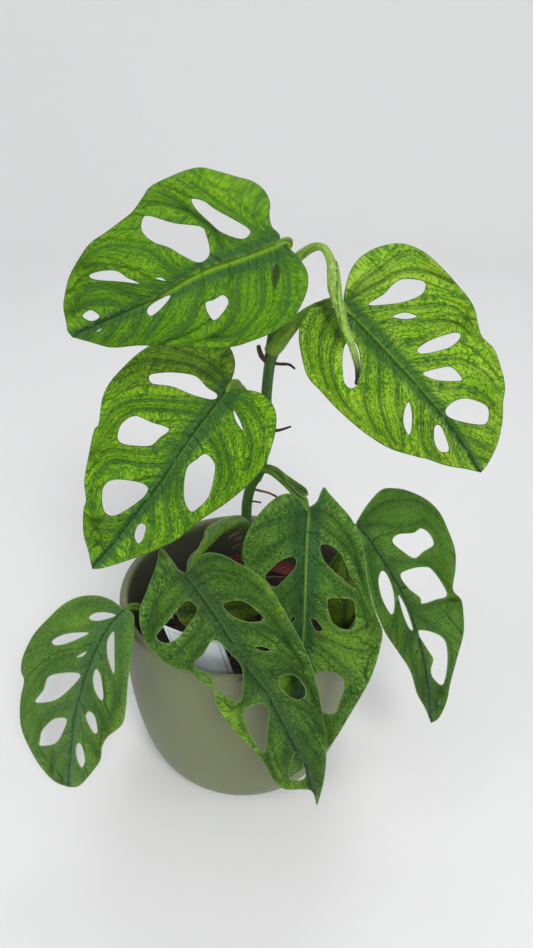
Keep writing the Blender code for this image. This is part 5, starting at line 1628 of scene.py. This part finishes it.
def new_leaf_material():
    """The rolled leaf: pale green with slanting streaks, painted shade along the seam under its overlapping
    margin, and a brown tip.
    """
    shader = Shader("new_leaf_skin", 0.4, Specular_IOR_Level=0.3)
    streaks = shader.noise(shader.place("skin", (1.4, 1.4, 0.4)), 1.0, 4, 0.7)
    green = shader.mix(shader.band(streaks, 0.38, 0.62), *NEW_COLOURS)
    tip = shader.maths("MULTIPLY_ADD", streaks, 0.12, shader.value("share"))
    # Painted shade along the seam under the rolled margin's lip
    green = shader.mix(shader.band(shader.value("rim"), 0.3, 0.8, 0.0, 0.9), green, STALK_COLOURS[0])
    green = shader.mix(shader.band(tip, 0.72, 0.98), green, TIP_BROWN)
    shader.bump(streaks, GRAIN_HEIGHTS["new_leaf"])
    return shader.finish(green)


def root_material(name, colours):
    shader = Shader(name, 0.8)
    grain = shader.noise(shader.place("skin", (1, 1, 0.5)), 1.8, 5, 0.7)
    brown = shader.mix(shader.band(grain, 0.35, 0.65), *colours)
    brown = shader.mix(shader.band(shader.value("share"), 0.75, 1.0, 0.0, 0.8), brown, colours[0])
    shader.bump(grain, GRAIN_HEIGHTS["root"])
    return shader.finish(brown)


def glaze_material():
    """Matte olive glaze with painted shade on the inside below the rim, faint clouds and fine grain."""
    shader = Shader("olive_glaze", 0.42, Specular_IOR_Level=0.5)
    clouds = shader.noise(shader.place(), 14.0, 3)
    grain = shader.noise(shader.place(stretch=PER_MM), 2.2, 3, 0.6)
    shade = shader.band(clouds, 0.3, 0.7, 0.0, 0.12)
    olive = shader.mix(shade, POT_OLIVE, tuple(channel * 0.75 for channel in POT_OLIVE))
    spot = shader.place()
    inward = shader.node("VectorMath", operation="DOT_PRODUCT")
    shader.put(inward.inputs[0], shader.node("NewGeometry").outputs["Normal"])
    shader.put(inward.inputs[1], spot)
    inside = shader.band(inward.outputs["Value"], -0.03, 0.02, 1.0, 0.0)
    height = shader.split(spot)[2]
    below = shader.band(height, POT_HEIGHT - POT_SHADE_END, POT_HEIGHT - POT_SHADE_START, 1.0, 0.0)
    # Painted shade: the cover pot's inside turns to POT_SHADE below the rim
    olive = shader.mix(shader.maths("MULTIPLY", inside, below), olive, POT_SHADE)
    shader.bump(grain, GRAIN_HEIGHTS["glaze"], 0.5)
    return shader.finish(olive, shader.band(grain, 0.3, 0.7, 0.38, 0.48))


def liner_material():
    shader = Shader("red_brown_plastic", 0.45)
    grain = shader.noise(shader.place(stretch=PER_MM), 0.5, 4, 0.6)
    red = shader.mix(shader.band(grain, 0.3, 0.75, 0.0, 0.6), LINER_RED, SOIL_BROWN)
    shader.bump(grain, GRAIN_HEIGHTS["plastic"])
    return shader.finish(red)


def soil_material():
    shader = Shader("potting_soil", 0.95)
    grain = shader.noise(shader.place(stretch=PER_MM), 0.9, 5, 0.75)
    brown = shader.mix(shader.band(grain, 0.45, 0.8), SOIL_BROWN, BARK_COLOURS[1])
    shader.bump(grain, GRAIN_HEIGHTS["soil"])
    return shader.finish(brown)


def bark_material():
    shader = Shader("bark_chips", 0.85)
    tone = shader.value("tone")
    grain = shader.noise(shader.place(stretch=(600, 1000, 1500)), 1.2, 5, 0.7)
    brown = shader.mix(shader.band(tone, 0.0, 1.0), *BARK_COLOURS)
    brown = shader.mix(shader.band(grain, 0.35, 0.75, 0.0, 0.5), brown, SOIL_BROWN)
    pale = shader.band(tone, 1.4, 1.6)
    shader.bump(grain, GRAIN_HEIGHTS["bark"])
    return shader.finish(shader.mix(pale, brown, PERLITE))


def label_material():
    """White card with one thin border line, parallel to its sides."""
    shader = Shader("label_card", 0.35)
    places = shader.split(shader.place("spot"))
    sides = [shader.maths("MINIMUM", place, shader.maths("SUBTRACT", length / MM, place))
             for place, length in zip(places, (TAG_WIDTH, TAG_HEIGHT))]
    inset = shader.maths("MINIMUM", *sides)
    off_line = shader.maths("ABSOLUTE", shader.maths("SUBTRACT", inset, TAG_BORDER))
    line = shader.band(off_line, TAG_LINE * 0.6, TAG_LINE * 1.4, 1.0, 0.0)
    grain = shader.noise(shader.place("spot"), 3.0, 3)
    white = shader.mix(shader.band(grain, 0.3, 0.8, 0.0, 0.08), LABEL_WHITE, LABEL_LINE)
    return shader.finish(shader.mix(line, white, LABEL_LINE))


def all_materials():
    return dict(
        sheath=leaf_material("sheath_skin", SHEATH_LOOK),
        stem=stalk_material("stem_skin", STEM_COLOURS),
        young_leaf=stalk_material("young_petiole_skin", YOUNG_STALK_COLOURS),
        old_leaf=stalk_material("old_petiole_skin", STALK_COLOURS),
        new_stalk=stalk_material("new_stalk_skin", (STALK_COLOURS[1], NEW_COLOURS[1])),
        new_leaf=new_leaf_material(),
        root=root_material("root_cork", ROOT_COLOURS),
        dry_root=root_material("dry_root_cork", DRY_ROOT_COLOURS),
        cover_pot=glaze_material(),
        nursery_pot=liner_material(),
        soil=soil_material(),
        bark=bark_material(),
        plant_label=label_material(),
    )


# Stage

def photo_camera():
    right, up, forward = camera_axes()
    data = bpy.data.cameras.new("photo_camera")
    data.sensor_width = SENSOR
    data.lens = LENS_PIXELS / max(PHOTO_SIZE) * SENSOR
    data.clip_start = CLOSEST_SEEN
    camera = bpy.data.objects.new("photo_camera", data)
    turn = Matrix((right, up, -forward)).transposed().to_4x4()
    camera.matrix_world = Matrix.Translation(EYE) @ turn
    bpy.context.scene.collection.objects.link(camera)
    bpy.context.scene.camera = camera


def studio_floor():
    """A pale floor that curves up all round, open above."""
    turns = [math.pi / 2 * i / FLOOR_CURVE_STEPS for i in range(1, FLOOR_CURVE_STEPS + 1)]
    profile = [(0, 0), (FLOOR_FLAT, 0)]
    profile += [(FLOOR_FLAT + FLOOR_CURVE * math.sin(a), FLOOR_CURVE - FLOOR_CURVE * math.cos(a))
                for a in turns]
    data = turned("studio_floor", profile + [(FLOOR_FLAT + FLOOR_CURVE, FLOOR_HEIGHT)], FLOOR_STEPS)
    data.flip_normals()
    data.materials.append(Shader("pale_floor", 0.7).finish(FLOOR_PALE))
    floor = bpy.data.objects.new("studio_floor", data)
    bpy.context.scene.collection.objects.link(floor)


def soft_light(name, place, size, power):
    data = bpy.data.lights.new(name, "AREA")
    data.shape = "DISK"
    data.size = size
    data.energy = power
    lamp = bpy.data.objects.new(name, data)
    lamp.location = place
    lamp.rotation_euler = (LIGHT_AIM - Vector(place)).to_track_quat("-Z", "Y").to_euler()
    bpy.context.scene.collection.objects.link(lamp)


def studio():
    photo_camera()
    studio_floor()
    for name, light in LIGHTS.items():
        soft_light(name, **light)
    world = bpy.data.worlds.new("studio_air")
    world.use_nodes = True
    air = world.node_tree.nodes["Background"]
    air.inputs["Color"].default_value = AIR_COLOUR
    air.inputs["Strength"].default_value = AIR_STRENGTH
    bpy.context.scene.world = world
    bpy.context.scene.view_settings.view_transform = "Standard"


def main():
    studio()
    materials = all_materials()
    cover_pot(materials)
    nursery_pot(materials)
    potting_soil(materials)
    plant_label(materials)
    stem_and_roots(materials)
    for name in LIES:
        leaf(name, materials)
    new_leaf(materials)


main()
